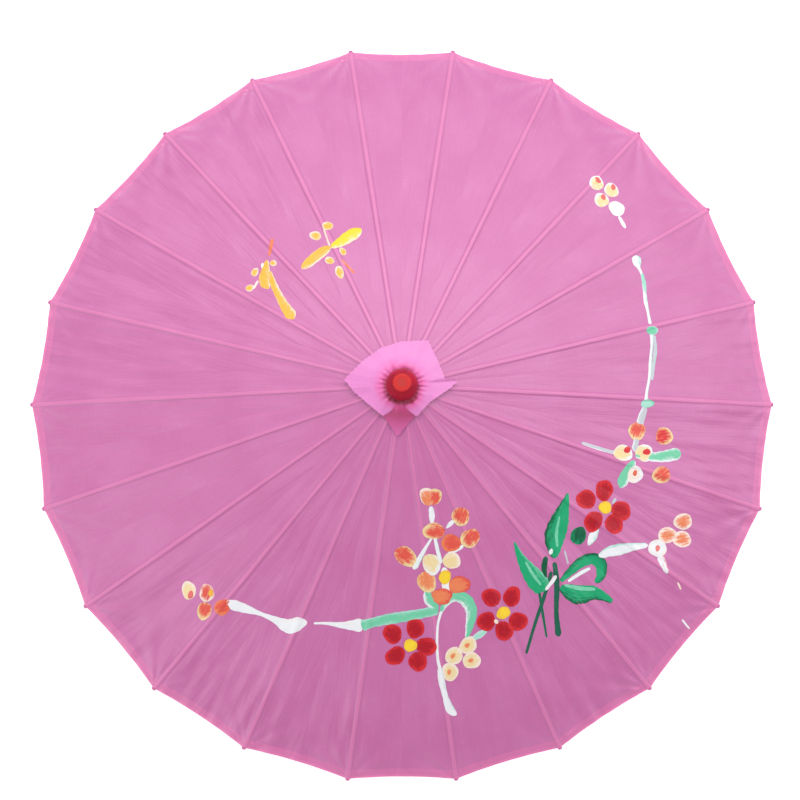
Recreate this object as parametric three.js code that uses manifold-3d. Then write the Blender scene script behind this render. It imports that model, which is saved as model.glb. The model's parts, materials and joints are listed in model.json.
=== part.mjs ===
// A cloth parasol built like an oil paper umbrella: bamboo ribs and stretchers threaded onto two
// toothed wooden hubs, a one-piece cover, a pinked cap cloth and a turned red finial.
// Millimetres, +Z up along the shaft, origin at the middle of the handle's flat end. It stands open.
import * as THREE from "three";
import { mergeVertices } from "three/addons/utils/BufferGeometryUtils.js";
import Module from "manifold-3d";

const wasm = await Module();
wasm.setup();

// ---- driving dimensions ----
const ribCount = 22;
const canopyRadius = 410; // shaft axis to a rib's tip when open
const openAngle = THREE.MathUtils.degToRad(20); // fall of an open rib below the horizontal
const stretcherLength = 190; // pivot to pivot, and also from the top hub's pivots to the ribs' pins
const shaftRadius = 6.5;
const handleLength = 88;
const handleRadius = 12.4;
const handleBore = 58; // depth of the shaft's socket
const handleLip = 1.3; // wall at the mouth of the socket

const clearance = 0.3; // between pieces that touch
const slideClearance = 0.5; // runner on the shaft
const foldGap = 0.4; // between neighbouring arms when folded
const foldedGap = 6; // runner above the handle when folded

const threadRadius = 0.5;
const threadHoleRadius = 0.85;
const pinHoleRadius = 0.7;
const tongueWidth = 1.3; // thin ends that work in the slots
const slotWidth = 1.7;

const ribWidth = 3.4;
const ribTipWidth = 2.4;
const ribTop = 6; // top face above the line through a rib's pivots
const ribDepth = 3.8;
const ribTipDepth = 2.6;
const ribNose = 2.4; // round end about a pivot
const ribTongueLength = 9.5;
const ribShoulder = 4; // the top face drops by this much at the hub end
const forkLength = 10; // half the length of the slot that a stretcher's end works in

const stretcherWidth = 2.8;
const stretcherDepth = 3;
const stretcherNose = 1.6;
const ribEndTongue = 10; // of the stretcher, at the rib
const runnerEndTongue = 36; // of the stretcher, at the runner
const stretcherTaper = 12;

const hubRim = 3.5; // wood outside the top hub's ring of pivots
const topHubAbove = 6;
const topHubBelow = 7;
const topHubRoof = 2.2; // uncut wood over the slots
const collarLength = 12;
const runnerAbove = 5;
const runnerBelow = 6;
const sleeveLength = 28;
const grooveDepth = 0.9;
const hubChamfer = 1;
const hubPinRadius = 0.9;

const coverThickness = 0.6;
const coverDrop = 11; // from the hub's rim out to where the cover meets the ribs
const coverScallop = 2.5; // how far a rim edge bows in
const capSide = 82; // the pinked square
const capThickness = 0.8;
const capTurn = Math.PI / 4; // a corner lies over the first rib

const finialRadius = 16.2;
const finialHeight = 24;
const finialBore = 12;

const catchThickness = 1.2;
const catchWidth = 1.6;
const catchHeight = 32;
const catchReach = 3.4; // nose outside the shaft
const catchFoot = 8;
const catchGap = 0.6; // nose below the runner

// ---- sizes and places that follow from them ----
const pitch = (2 * Math.PI) / ribCount;
const lacingRadius = ribNose + (ribWidth + foldGap) / (2 * Math.tan(pitch / 2));
const hubRadius = lacingRadius + hubRim;
const runnerRadius = lacingRadius + ribTop - ribDepth - clearance; // clears the folded ribs
const slotFloor = lacingRadius - ribNose - 2 * clearance;
const sleeveRadius = slotFloor - clearance;
const seatRadius = shaftRadius + clearance;
const boreRadius = shaftRadius + slideClearance;
const ribLength = (canopyRadius - lacingRadius) / Math.cos(openAngle);

const foldedRunner = handleLength + foldedGap + sleeveLength + runnerBelow;
const hubHeight = foldedRunner + 2 * stretcherLength; // of the ring that the ribs turn on
const hubTop = hubHeight + topHubAbove;
const hubLow = hubHeight - topHubBelow;
const hubPinHeight = hubLow - collarLength / 2;
const runnerHeight = hubHeight - 2 * stretcherLength * Math.sin(openAngle);
const runnerTop = runnerHeight + runnerAbove;
const runnerLow = runnerHeight - runnerBelow;
const runnerFoot = runnerLow - sleeveLength;
const coverBase = hubTop + clearance;
const capBase = coverBase + coverThickness + clearance;
const finialBase = capBase + capThickness + clearance;
const shaftTop = finialBase + finialBore;
const shaftFoot = handleLength - handleBore + clearance;
const catchRoot = runnerFoot - catchGap - catchHeight;

// ---- finishes ----
const finish = (color, roughness, metalness = 0) =>
  new THREE.MeshStandardMaterial({ color, roughness, metalness });
const bamboo = finish(0xd9b779, 0.55);
const wood = finish(0xd8b98a, 0.6);
const redLacquer = finish(0xb3202c, 0.25);
const pinkCloth = finish(0xdf8cc2, 0.8);
const capPink = finish(0xfba2e2, 0.8);
const thread = finish(0xf0e6dc, 0.85);
const steel = finish(0xb9bcc0, 0.35, 1);

// ---- solids ----
function solid(geometry) {
  const bare = geometry.clone();
  bare.deleteAttribute("normal");
  bare.deleteAttribute("uv");
  const merged = mergeVertices(bare, 1e-4);
  const vertProperties = new Float32Array(merged.attributes.position.array);
  const triVerts = new Uint32Array(merged.index.array);
  return new wasm.Manifold(new wasm.Mesh({ numProp: 3, vertProperties, triVerts }));
}

function geometryOf(made) {
  const mesh = made.getMesh();
  const geometry = new THREE.BufferGeometry();
  geometry.setAttribute("position", new THREE.BufferAttribute(mesh.vertProperties, 3));
  geometry.setIndex(new THREE.BufferAttribute(mesh.triVerts, 1));
  return geometry;
}

function node(name, geometry, material) {
  const mesh = new THREE.Mesh(geometry, material);
  mesh.name = name;
  return mesh;
}

// A straight prism of an outline, centred on z = 0.
function prism(shape, height, curveSegments = 3) {
  const options = { depth: height, bevelEnabled: false, curveSegments };
  return new THREE.ExtrudeGeometry(shape, options).translate(0, 0, -height / 2);
}

function outline(points) {
  return new THREE.Shape(points.map(([x, y]) => new THREE.Vector2(x, y)));
}

function circle(x, y, radius) {
  const shape = new THREE.Shape();
  shape.absarc(x, y, radius, 0, 2 * Math.PI, false);
  return shape;
}

// A turned piece from [radius, height] points; the profile closes on itself.
function turned(profile, segments = 28) {
  const points = [...profile, profile[0]].map(([r, z]) => new THREE.Vector2(r, z));
  return new THREE.LatheGeometry(points, segments).rotateX(Math.PI / 2);
}

// A ring of hinge thread, or the tunnel for it, with its corners in the slots.
function ring(wire, height) {
  return new THREE.TorusGeometry(lacingRadius, wire, 6, ribCount).translate(0, 0, height);
}

function box(low, high) {
  const size = high.map((value, k) => value - low[k]);
  const middle = high.map((value, k) => (value + low[k]) / 2);
  return new THREE.BoxGeometry(...size).translate(...middle);
}

// A bar cut from its side outline in x, y and its plan outline in x, z.
function bar(side, plan) {
  const deep = solid(prism(side, 4 * ribWidth));
  const wide = solid(prism(plan, 8 * ribTop).rotateX(Math.PI / 2));
  return deep.intersect(wide);
}

function crossHole(x, radius) {
  return solid(prism(circle(x, 0, radius), 4 * ribWidth));
}

// A plan outline from [x, half width] points along one edge.
function bothEdges(edge) {
  const back = edge.map(([x, half]) => [x, -half]);
  return outline([...back, ...edge.slice().reverse()]);
}

// ---- a rib: x outwards from its pivot on the top hub, y up, z across ----
function ribGeometry() {
  const underside = ribTop - ribDepth;
  const pin = stretcherLength;
  const side = new THREE.Shape();
  side.moveTo(0, ribNose);
  side.absarc(0, 0, ribNose, Math.PI / 2, 1.5 * Math.PI, false);
  side.lineTo(ribTongueLength / 2, -ribNose);
  side.lineTo(2 * ribTongueLength, underside);
  side.lineTo(pin - forkLength, underside);
  side.absarc(pin, 0, ribNose, Math.PI, 2 * Math.PI, false);
  side.lineTo(pin + forkLength, underside);
  side.lineTo(ribLength, ribTop - ribTipDepth);
  side.lineTo(ribLength, ribTop);
  side.lineTo(ribTongueLength, ribTop);
  side.lineTo(ribTongueLength / 3, ribTop + ribNose - ribShoulder);

  const plan = bothEdges([
    [-ribNose - 1, tongueWidth / 2],
    [ribTongueLength, tongueWidth / 2],
    [1.5 * ribTongueLength, ribWidth / 2],
    [pin + forkLength, ribWidth / 2],
    [ribLength + 1, ribTipWidth / 2],
  ]);
  const slotLow = [pin - forkLength, -2 * ribNose, -slotWidth / 2];
  const slotHigh = [pin + forkLength, underside, slotWidth / 2];
  const rib = bar(side, plan)
    .subtract(solid(box(slotLow, slotHigh)))
    .subtract(crossHole(0, threadHoleRadius))
    .subtract(crossHole(pin, pinHoleRadius));
  return geometryOf(rib);
}

// ---- a stretcher: x from its pin in the rib to its pivot on the runner ----
function stretcherGeometry() {
  const end = stretcherLength;
  const half = stretcherDepth / 2;
  const side = new THREE.Shape();
  side.moveTo(0, stretcherNose);
  side.absarc(0, 0, stretcherNose, Math.PI / 2, 1.5 * Math.PI, false);
  side.lineTo(ribEndTongue, -half);
  side.lineTo(end - ribEndTongue, -half);
  side.absarc(end, 0, stretcherNose, 1.5 * Math.PI, 2.5 * Math.PI, false);
  side.lineTo(end - ribEndTongue, half);
  side.lineTo(ribEndTongue, half);

  const tongueStart = end - runnerEndTongue;
  const plan = bothEdges([
    [-stretcherNose - 1, tongueWidth / 2],
    [ribEndTongue, tongueWidth / 2],
    [ribEndTongue + stretcherTaper / 2, stretcherWidth / 2],
    [tongueStart - stretcherTaper, stretcherWidth / 2],
    [tongueStart, tongueWidth / 2],
    [end + stretcherNose + 1, tongueWidth / 2],
  ]);
  const stretcher = bar(side, plan)
    .subtract(crossHole(0, pinHoleRadius))
    .subtract(crossHole(end, threadHoleRadius));
  return geometryOf(stretcher);
}

// ---- the two toothed hubs ----
function radialSlots(low, high) {
  const cuts = [];
  for (let i = 0; i < ribCount; i++) {
    const slot = box([slotFloor, -slotWidth / 2, low], [hubRadius + 5, slotWidth / 2, high]);
    cuts.push(solid(slot.rotateZ(i * pitch)));
  }
  return wasm.Manifold.union(cuts);
}

function hubPin(radius, length) {
  const pin = new THREE.CylinderGeometry(radius, radius, length, 10).rotateZ(Math.PI / 2);
  return pin.rotateZ(pitch / 2).translate(0, 0, hubPinHeight);
}

const hubPinHole = () => solid(hubPin(hubPinRadius + clearance, 4 * hubRadius));

function topHubGeometry() {
  const body = turned([
    [seatRadius, hubTop],
    [seatRadius, hubLow - collarLength],
    [sleeveRadius - hubChamfer, hubLow - collarLength],
    [sleeveRadius, hubLow - collarLength + hubChamfer],
    [sleeveRadius, hubLow],
    [hubRadius, hubLow],
    [hubRadius, hubTop - hubChamfer],
    [hubRadius - hubChamfer, hubTop],
  ], ribCount);
  const hub = solid(body)
    .subtract(radialSlots(hubLow - 1, hubTop - topHubRoof))
    .subtract(solid(ring(threadHoleRadius, hubHeight)))
    .subtract(hubPinHole());
  return geometryOf(hub);
}

function runnerGeometry() {
  const waist = sleeveRadius - grooveDepth;
  const body = turned([
    [boreRadius, runnerTop],
    [boreRadius, runnerFoot],
    [waist, runnerFoot],
    [sleeveRadius, runnerFoot + hubChamfer],
    [sleeveRadius, runnerFoot + sleeveLength / 4],
    [waist, runnerFoot + sleeveLength / 4 + hubChamfer],
    [waist, runnerFoot + sleeveLength / 3],
    [sleeveRadius, runnerFoot + sleeveLength / 3 + hubChamfer],
    [sleeveRadius, runnerLow],
    [runnerRadius, runnerLow],
    [runnerRadius, runnerTop - hubChamfer],
    [runnerRadius - hubChamfer, runnerTop],
  ], ribCount);
  const runner = solid(body)
    .subtract(radialSlots(runnerLow - 1, runnerTop + 1))
    .subtract(solid(ring(threadHoleRadius, runnerHeight)));
  return geometryOf(runner);
}

// ---- shaft, with the slot that the catch lies in ----
function shaftGeometry() {
  const rod = new THREE.CylinderGeometry(shaftRadius, shaftRadius, shaftTop - shaftFoot, 32);
  const half = catchWidth / 2 + clearance;
  const slot = box(
    [-shaftRadius / 2, -half, catchRoot - catchFoot - clearance],
    [2 * shaftRadius, half, catchRoot + catchHeight + 2 * clearance],
  );
  const shaft = solid(rod.rotateX(Math.PI / 2).translate(0, 0, (shaftTop + shaftFoot) / 2))
    .subtract(solid(slot.rotateZ(pitch / 2)))
    .subtract(hubPinHole());
  return geometryOf(shaft);
}

// A bent spring strip: its foot down in the shaft, a leg that leans out to the nose, and a lip
// that runs back into the slot. It lies between two stretchers.
function catchGeometry() {
  const thick = catchThickness;
  const foot = shaftRadius / 2;
  const nose = shaftRadius + catchReach;
  const strip = outline([
    [foot + thick, -catchFoot],
    [foot + thick, -thick / 4],
    [nose, catchHeight - 1.5 * thick],
    [nose, catchHeight - thick / 2],
    [nose - thick / 2, catchHeight],
    [foot, catchHeight],
    [foot, catchHeight - thick],
    [nose - 1.6 * thick, catchHeight - thick],
    [foot, 0],
    [foot, -catchFoot],
  ]);
  const upright = prism(strip, catchWidth).rotateX(Math.PI / 2);
  return upright.rotateZ(pitch / 2).translate(0, 0, catchRoot);
}

// ---- cloth: a closed shell between rows of points, each row a loop, from the middle outwards ----
function shell(rows, thickness) {
  const around = rows[0].length;
  const layer = rows.length * around;
  const positions = [];
  for (const lift of [0, thickness]) {
    rows.flat().forEach(([x, y, z]) => positions.push(x, y, z + lift));
  }
  const faces = [];
  const at = (side, row, k) => side * layer + row * around + (k % around);
  const quad = (a, b, c, d) => faces.push(a, b, c, a, c, d);
  const rim = rows.length - 1;
  for (let k = 0; k < around; k++) {
    for (let row = 0; row < rim; row++) {
      quad(at(1, row, k), at(1, row + 1, k), at(1, row + 1, k + 1), at(1, row, k + 1));
      quad(at(0, row, k), at(0, row, k + 1), at(0, row + 1, k + 1), at(0, row + 1, k));
    }
    quad(at(0, rim, k), at(0, rim, k + 1), at(1, rim, k + 1), at(1, rim, k));
    quad(at(0, 0, k), at(1, 0, k), at(1, 0, k + 1), at(0, 0, k + 1));
  }
  const geometry = new THREE.BufferGeometry();
  geometry.setAttribute("position", new THREE.Float32BufferAttribute(positions, 3));
  geometry.setIndex(faces);
  return geometry;
}

// Height of the cover's underside over a rib.
function overRib(radius) {
  const along = (radius - lacingRadius - ribTop * Math.sin(openAngle)) / Math.cos(openAngle);
  const ribFace = hubHeight - along * Math.sin(openAngle) + ribTop * Math.cos(openAngle);
  return ribFace + clearance / Math.cos(openAngle);
}

// The cover hangs straight from rib to rib, and its rim bows in between their tips.
function coverGeometry() {
  const shoulder = hubRadius + coverDrop;
  const row = (radius, height, chord, bow) => {
    const points = [];
    for (let k = 0; k < 2 * ribCount; k++) {
      const between = k % 2 === 1;
      const reach = between ? radius * chord - bow : radius;
      const angle = (k * pitch) / 2;
      points.push([reach * Math.cos(angle), reach * Math.sin(angle), height]);
    }
    return points;
  };
  const flat = Math.cos(pitch / 2);
  const rows = [
    row(seatRadius + clearance, coverBase, 1, 0),
    row(hubRadius + clearance, coverBase, 1, 0),
    row(shoulder, overRib(shoulder), flat, 0),
    row(canopyRadius / 2, overRib(canopyRadius / 2), flat, 0),
    row(canopyRadius, overRib(canopyRadius), flat, coverScallop),
  ];
  return shell(rows, coverThickness);
}

// The cap is a square with a hole for the shaft, lying on the crown of the cover.
function capGeometry() {
  const brow = hubRadius + 2 * clearance;
  const count = 40;
  const row = (reachAt) => {
    const points = [];
    for (let k = 0; k < count; k++) {
      const angle = ((k + 0.5) / count) * 2 * Math.PI;
      const reach = reachAt(angle);
      const fall = Math.max(0, reach - brow) * Math.tan(openAngle);
      points.push([reach * Math.cos(angle), reach * Math.sin(angle), capBase - fall]);
    }
    return points;
  };
  const half = capSide / 2;
  const edge = (angle) => half / Math.max(Math.abs(Math.cos(angle)), Math.abs(Math.sin(angle)));
  const rows = [row(() => seatRadius + clearance), row(() => brow), row(edge)];
  return shell(rows, capThickness).rotateZ(capTurn);
}

// ---- finial and handle, both turned ----
function finialGeometry() {
  const r = finialRadius;
  const at = (share) => finialBase + share * finialHeight;
  return turned([
    [seatRadius, at(0)],
    [0.65 * r, at(0)],
    [0.87 * r, at(0.08)],
    [r, at(0.27)],
    [0.98 * r, at(0.42)],
    [0.88 * r, at(0.62)],
    [0.72 * r, at(0.82)],
    [0.58 * r, at(0.97)],
    [0.5 * r, at(1)],
    [0, at(1)],
    [0, shaftTop + clearance],
    [seatRadius, shaftTop + clearance],
  ]);
}

function handleGeometry() {
  const r = handleRadius;
  const at = (share) => share * handleLength;
  const floor = handleLength - handleBore;
  return turned([
    [0, 0],
    [0.89 * r, 0],
    [0.98 * r, at(0.02)],
    [r, at(0.09)],
    [0.9 * r, at(0.14)],
    [0.85 * r, at(0.15)],
    [0.85 * r, at(0.17)],
    [0.92 * r, at(0.18)],
    [r, at(0.34)],
    [0.97 * r, at(0.55)],
    [0.85 * r, at(0.77)],
    [0.82 * r, at(0.82)],
    [0.89 * r, at(0.84)],
    [0.89 * r, at(0.87)],
    [0.8 * r, at(0.89)],
    [seatRadius + handleLip, at(1)],
    [seatRadius, at(1)],
    [seatRadius, floor],
    [0, floor],
  ]);
}

// ---- assembly ----
const parasol = new THREE.Group();
parasol.add(
  node("handle", handleGeometry(), redLacquer),
  node("shaft", shaftGeometry(), bamboo),
  node("catch_spring", catchGeometry(), steel),
  node("top_hub", topHubGeometry(), wood),
  node("top_hub_pin", hubPin(hubPinRadius, 2 * sleeveRadius), steel),
  node("top_hub_thread", ring(threadRadius, hubHeight), thread),
  node("runner", runnerGeometry(), wood),
  node("runner_thread", ring(threadRadius, runnerHeight), thread),
  node("cover", coverGeometry(), pinkCloth),
  node("cap_cloth", capGeometry(), capPink),
  node("finial", finialGeometry(), redLacquer),
);

const rib = ribGeometry();
const stretcher = stretcherGeometry();
const pinRadius = lacingRadius + stretcherLength * Math.cos(openAngle);
const pinHeight = hubHeight - stretcherLength * Math.sin(openAngle);
for (let i = 0; i < ribCount; i++) {
  const number = String(i + 1).padStart(2, "0");
  const ribMesh = node("rib_" + number, rib, bamboo);
  ribMesh.position.set(lacingRadius, 0, hubHeight);
  ribMesh.rotation.set(Math.PI / 2, 0, -openAngle);
  const stretcherMesh = node("stretcher_" + number, stretcher, bamboo);
  stretcherMesh.position.set(pinRadius, 0, pinHeight);
  stretcherMesh.rotation.set(Math.PI / 2, 0, Math.PI + openAngle);
  const plane = new THREE.Group();
  plane.rotation.z = i * pitch;
  plane.add(ribMesh, stretcherMesh);
  parasol.add(plane);
}

export default parasol;
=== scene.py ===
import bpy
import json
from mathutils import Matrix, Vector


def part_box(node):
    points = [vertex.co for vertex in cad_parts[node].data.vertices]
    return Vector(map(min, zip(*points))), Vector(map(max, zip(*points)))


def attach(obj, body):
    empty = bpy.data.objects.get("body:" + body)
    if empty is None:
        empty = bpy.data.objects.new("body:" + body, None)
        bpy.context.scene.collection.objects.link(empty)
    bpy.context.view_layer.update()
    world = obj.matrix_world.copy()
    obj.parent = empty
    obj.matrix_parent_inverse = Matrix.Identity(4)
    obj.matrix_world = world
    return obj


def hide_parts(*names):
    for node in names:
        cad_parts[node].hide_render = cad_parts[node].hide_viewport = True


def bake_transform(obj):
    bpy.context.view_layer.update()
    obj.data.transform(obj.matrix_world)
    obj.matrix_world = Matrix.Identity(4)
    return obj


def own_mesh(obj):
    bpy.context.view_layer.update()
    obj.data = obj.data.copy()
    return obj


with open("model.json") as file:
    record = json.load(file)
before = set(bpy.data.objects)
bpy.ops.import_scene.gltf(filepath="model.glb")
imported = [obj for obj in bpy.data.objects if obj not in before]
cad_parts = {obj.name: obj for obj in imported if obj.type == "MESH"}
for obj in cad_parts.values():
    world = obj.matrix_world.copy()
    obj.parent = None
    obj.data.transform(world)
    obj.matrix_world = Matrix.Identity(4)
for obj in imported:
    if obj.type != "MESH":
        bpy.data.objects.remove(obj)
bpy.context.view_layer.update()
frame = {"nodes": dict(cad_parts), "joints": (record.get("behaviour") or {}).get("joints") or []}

import json
import math

import bmesh
import bpy
import numpy as np
from mathutils import Matrix, Vector

scene = bpy.context.scene
mm = 0.001

# what the frame says
joints = {joint["name"]: joint for joint in frame["joints"]}
ribCount = sum(name.startswith("rib_hinge") for name in joints)
pitch = 2 * math.pi / ribCount
hubPivot = Vector(joints["rib_hinge_01"]["pos_m"])
armPin = Vector(joints["stretcher_hinge_01"]["pos_m"])
lacingRadius = hubPivot.x
hubHeight = hubPivot.z
openAngle = math.atan2(hubHeight - armPin.z, armPin.x - hubPivot.x)
armLength = (armPin - hubPivot).length
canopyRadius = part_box("cover")[1].x
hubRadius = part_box("top_hub")[1].x
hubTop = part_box("top_hub")[1].z


def ribNumber(i):
    return f"{i % ribCount + 1:02d}"


def armFrame(i):
    # outwards along an open rib, square to it upwards, and across it, for rib i
    turn = i * pitch
    out = Vector((math.cos(turn), math.sin(turn), 0))
    up = Vector((0, 0, 1))
    along = out * math.cos(openAngle) - up * math.sin(openAngle)
    face = out * math.sin(openAngle) + up * math.cos(openAngle)
    across = Vector((-math.sin(turn), math.cos(turn), 0))
    return out * lacingRadius + up * hubHeight, along, face, across


def ribFaceHeight():
    # how far a rib's top face stands above the line through its pivots
    origin, along, face, across = armFrame(0)
    return max((v.co - origin).dot(face) for v in frame["nodes"]["rib_01"].data.vertices)


ribTop = ribFaceHeight()


# camera
view = {"elevation": 82.3, "distance": 1.8, "focal": 73.1, "aim": (-0.002, 0.005)}
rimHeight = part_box("cover")[0].z
elevation = math.radians(view["elevation"])
target = Vector((*view["aim"], rimHeight))
cameraData = bpy.data.cameras.new("camera")
cameraData.lens = view["focal"]
cameraData.sensor_width = 36
cameraData.clip_end = 20
camera = bpy.data.objects.new("camera", cameraData)
camera.location = target + view["distance"] * Vector((0, -math.cos(elevation), math.sin(elevation)))
camera.rotation_euler = (math.pi / 2 - elevation, 0, 0)
scene.collection.objects.link(camera)
scene.camera = camera


# meshes
def addMesh(name, vertices, faces, material, smooth=True):
    mesh = bpy.data.meshes.new(name)
    mesh.from_pydata([tuple(v) for v in vertices], [], [tuple(f) for f in faces])
    mesh.polygons.foreach_set("use_smooth", [smooth] * len(mesh.polygons))
    mesh.materials.append(material)
    piece = bpy.data.objects.new(name, mesh)
    scene.collection.objects.link(piece)
    return piece


def gridFaces(rows, columns, offset=0, flip=False):
    index = np.arange(rows * columns).reshape(rows, columns) + offset
    quads = np.stack([index[:-1, :-1], index[1:, :-1], index[1:, 1:], index[:-1, 1:]], -1).reshape(-1, 4)
    return quads[:, ::-1] if flip else quads


def shellFaces(rows, columns):
    # a top grid, the grid under it and the wall between their edges
    count = rows * columns
    index = np.arange(count).reshape(rows, columns)
    loop = np.concatenate([index[0, :-1], index[:-1, -1], index[-1, :0:-1], index[:0:-1, 0]])
    after = np.roll(loop, -1)
    wall = np.stack([loop, after, after + count, loop + count], -1)
    return np.concatenate([gridFaces(rows, columns), gridFaces(rows, columns, count, True), wall])


def setFloat(piece, name, values):
    attribute = piece.data.attributes.new(name, "FLOAT", "POINT")
    attribute.data.foreach_set("value", np.asarray(values, np.float32).ravel())


def setUv(piece, u, v):
    layer = piece.data.uv_layers.new(name="cloth")
    loops = np.zeros(len(piece.data.loops), np.int32)
    piece.data.loops.foreach_get("vertex_index", loops)
    places = np.stack([np.ravel(u)[loops], np.ravel(v)[loops]], -1)
    layer.data.foreach_set("uv", places.astype(np.float32).ravel())


def shell(name, top, normals, thickness, material, attributes, uv):
    # a closed thin sheet under a grid of points; its normals are the surface's own
    rows, columns = top.shape[:2]
    under = top - normals * thickness[..., None]
    points = np.concatenate([top.reshape(-1, 3), under.reshape(-1, 3)])
    piece = addMesh(name, points, shellFaces(rows, columns), material)
    for key, values in attributes.items():
        setFloat(piece, key, np.concatenate([values.ravel(), values.ravel()]))
    setUv(piece, np.concatenate([uv[0].ravel()] * 2), np.concatenate([uv[1].ravel()] * 2))
    both = np.concatenate([normals.reshape(-1, 3), -normals.reshape(-1, 3)])
    piece.data.normals_split_custom_set_from_vertices(both.tolist())
    return piece


def curveThrough(a, b, c, d, t):
    # a Catmull-Rom step from b to c
    square, cube = t**2, t**3
    return 0.5 * (2 * b + (c - a) * t + (2 * a - 5 * b + 4 * c - d) * square + (3 * b - a - 3 * c + d) * cube)


def smoothstep(x):
    x = np.clip(x, 0, 1)
    return x * x * (3 - 2 * x)


# shader node helpers
def newMaterial(name):
    material = bpy.data.materials.new(name)
    material.use_nodes = True
    nodes = material.node_tree.nodes
    nodes.clear()
    output = nodes.new("ShaderNodeOutputMaterial")
    shader = nodes.new("ShaderNodeBsdfPrincipled")
    material.node_tree.links.new(shader.outputs["BSDF"], output.inputs["Surface"])
    return material, material.node_tree, shader


def giveInputs(tree, node, values):
    # a socket is linked and anything else becomes the input's own value
    for key, value in values.items():
        if isinstance(value, bpy.types.NodeSocket):
            tree.links.new(value, node.inputs[key])
        else:
            node.inputs[key].default_value = value


def addNode(tree, kind, values=None, **settings):
    node = tree.nodes.new(kind)
    for key, value in settings.items():
        setattr(node, key, value)
    giveInputs(tree, node, values or {})
    return node


def maths(tree, operation, a, b=0.0):
    return addNode(tree, "ShaderNodeMath", {0: a, 1: b}, operation=operation).outputs[0]


def mixColors(tree, factor, a, b):
    return addNode(tree, "ShaderNodeMix", {0: factor, 6: a, 7: b}, data_type="RGBA").outputs[2]


def rangeMask(tree, value, low, high, smooth=True):
    # 0 at low, 1 at high
    kind = "SMOOTHSTEP" if smooth else "LINEAR"
    values = {"Value": value, "From Min": low, "From Max": high}
    return addNode(tree, "ShaderNodeMapRange", values, interpolation_type=kind, clamp=True).outputs["Result"]


def between(tree, value, low, high):
    # low where the value is 0, high where it is 1
    values = {"Value": value, "To Min": low, "To Max": high}
    return addNode(tree, "ShaderNodeMapRange", values).outputs["Result"]


def noiseOf(tree, vector, scale, detail=2.0, rough=0.5):
    values = {"Vector": vector, "Scale": scale, "Detail": detail, "Roughness": rough}
    return addNode(tree, "ShaderNodeTexNoise", values).outputs["Fac"]


def stretched(tree, vector, scale):
    return addNode(tree, "ShaderNodeMapping", {"Vector": vector, "Scale": scale}).outputs["Vector"]


def objectPlace(tree):
    return addNode(tree, "ShaderNodeTexCoord").outputs["Object"]


def surfacePlace(tree):
    return addNode(tree, "ShaderNodeTexCoord").outputs["UV"]


def uprightPlace(tree):
    # the object's place with its height first, so that fibres run up the shaft
    parts = addNode(tree, "ShaderNodeSeparateXYZ", {"Vector": objectPlace(tree)}).outputs
    swapped = {"X": parts["Z"], "Y": parts["X"], "Z": parts["Y"]}
    return addNode(tree, "ShaderNodeCombineXYZ", swapped).outputs[0]


def attributeOf(tree, name, output="Fac"):
    return addNode(tree, "ShaderNodeAttribute", attribute_name=name).outputs[output]


def bump(tree, height, strength, distance):
    values = {"Height": height, "Strength": strength, "Distance": distance}
    return addNode(tree, "ShaderNodeBump", values).outputs["Normal"]


def setShader(tree, shader, **values):
    giveInputs(tree, shader, {key.replace("_", " "): value for key, value in values.items()})


def newGroup(name, inputs, outputs):
    group = bpy.data.node_groups.new(name, "ShaderNodeTree")
    for socketName, kind, value in inputs:
        socket = group.interface.new_socket(socketName, in_out="INPUT", socket_type=kind)
        if value is not None:
            socket.default_value = value
    for socketName, kind in outputs:
        group.interface.new_socket(socketName, in_out="OUTPUT", socket_type=kind)
    return group, group.nodes.new("NodeGroupInput").outputs, group.nodes.new("NodeGroupOutput").inputs


def useGroup(tree, group, values):
    return addNode(tree, "ShaderNodeGroup", values, node_tree=group).outputs


def weaveGroup():
    # crossing threads as a height, and slubs as a soft mask
    group, given, out = newGroup(
        "weave",
        [("Place", "NodeSocketVector", None), ("Threads", "NodeSocketFloat", 2500.0),
         ("Slub", "NodeSocketFloat", 90.0)],
        [("Height", "NodeSocketFloat"), ("Slubs", "NodeSocketFloat")],
    )
    parts = addNode(group, "ShaderNodeSeparateXYZ", {"Vector": given["Place"]}).outputs
    rows = []
    for axis in ("X", "Y"):
        turn = maths(group, "MULTIPLY", parts[axis], given["Threads"])
        rows.append(maths(group, "ABSOLUTE", maths(group, "SINE", turn)))
    group.links.new(maths(group, "MAXIMUM", *rows), out["Height"])
    lengthwise = noiseOf(group, stretched(group, given["Place"], (1, 0.05, 1)), given["Slub"], 2)
    crosswise = noiseOf(group, stretched(group, given["Place"], (0.05, 1, 1)), given["Slub"], 2)
    group.links.new(maths(group, "MULTIPLY", maths(group, "ADD", lengthwise, crosswise), 0.5), out["Slubs"])
    return group


def grainGroup():
    # long fibres along the first axis of Place, as a colour and a height
    group, given, out = newGroup(
        "grain",
        [("Place", "NodeSocketVector", None), ("Pale", "NodeSocketColor", (0.8, 0.6, 0.3, 1)),
         ("Dark", "NodeSocketColor", (0.4, 0.2, 0.1, 1)), ("Stretch", "NodeSocketFloat", 0.03),
         ("Scale", "NodeSocketFloat", 900.0)],
        [("Color", "NodeSocketColor"), ("Height", "NodeSocketFloat")],
    )
    squeeze = addNode(group, "ShaderNodeCombineXYZ", {"X": given["Stretch"], "Y": 1.0, "Z": 1.0}).outputs[0]
    values = {0: given["Place"], 1: squeeze}
    place = addNode(group, "ShaderNodeVectorMath", values, operation="MULTIPLY").outputs[0]
    fine = noiseOf(group, place, given["Scale"], 4, 0.65)
    broad = noiseOf(group, place, maths(group, "MULTIPLY", given["Scale"], 0.22), 3, 0.5)
    blend = maths(group, "ADD", maths(group, "MULTIPLY", fine, 0.55), maths(group, "MULTIPLY", broad, 0.45))
    color = mixColors(group, rangeMask(group, blend, 0.36, 0.62), given["Dark"], given["Pale"])
    group.links.new(color, out["Color"])
    group.links.new(fine, out["Height"])
    return group


weave = weaveGroup()
grain = grainGroup()


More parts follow.
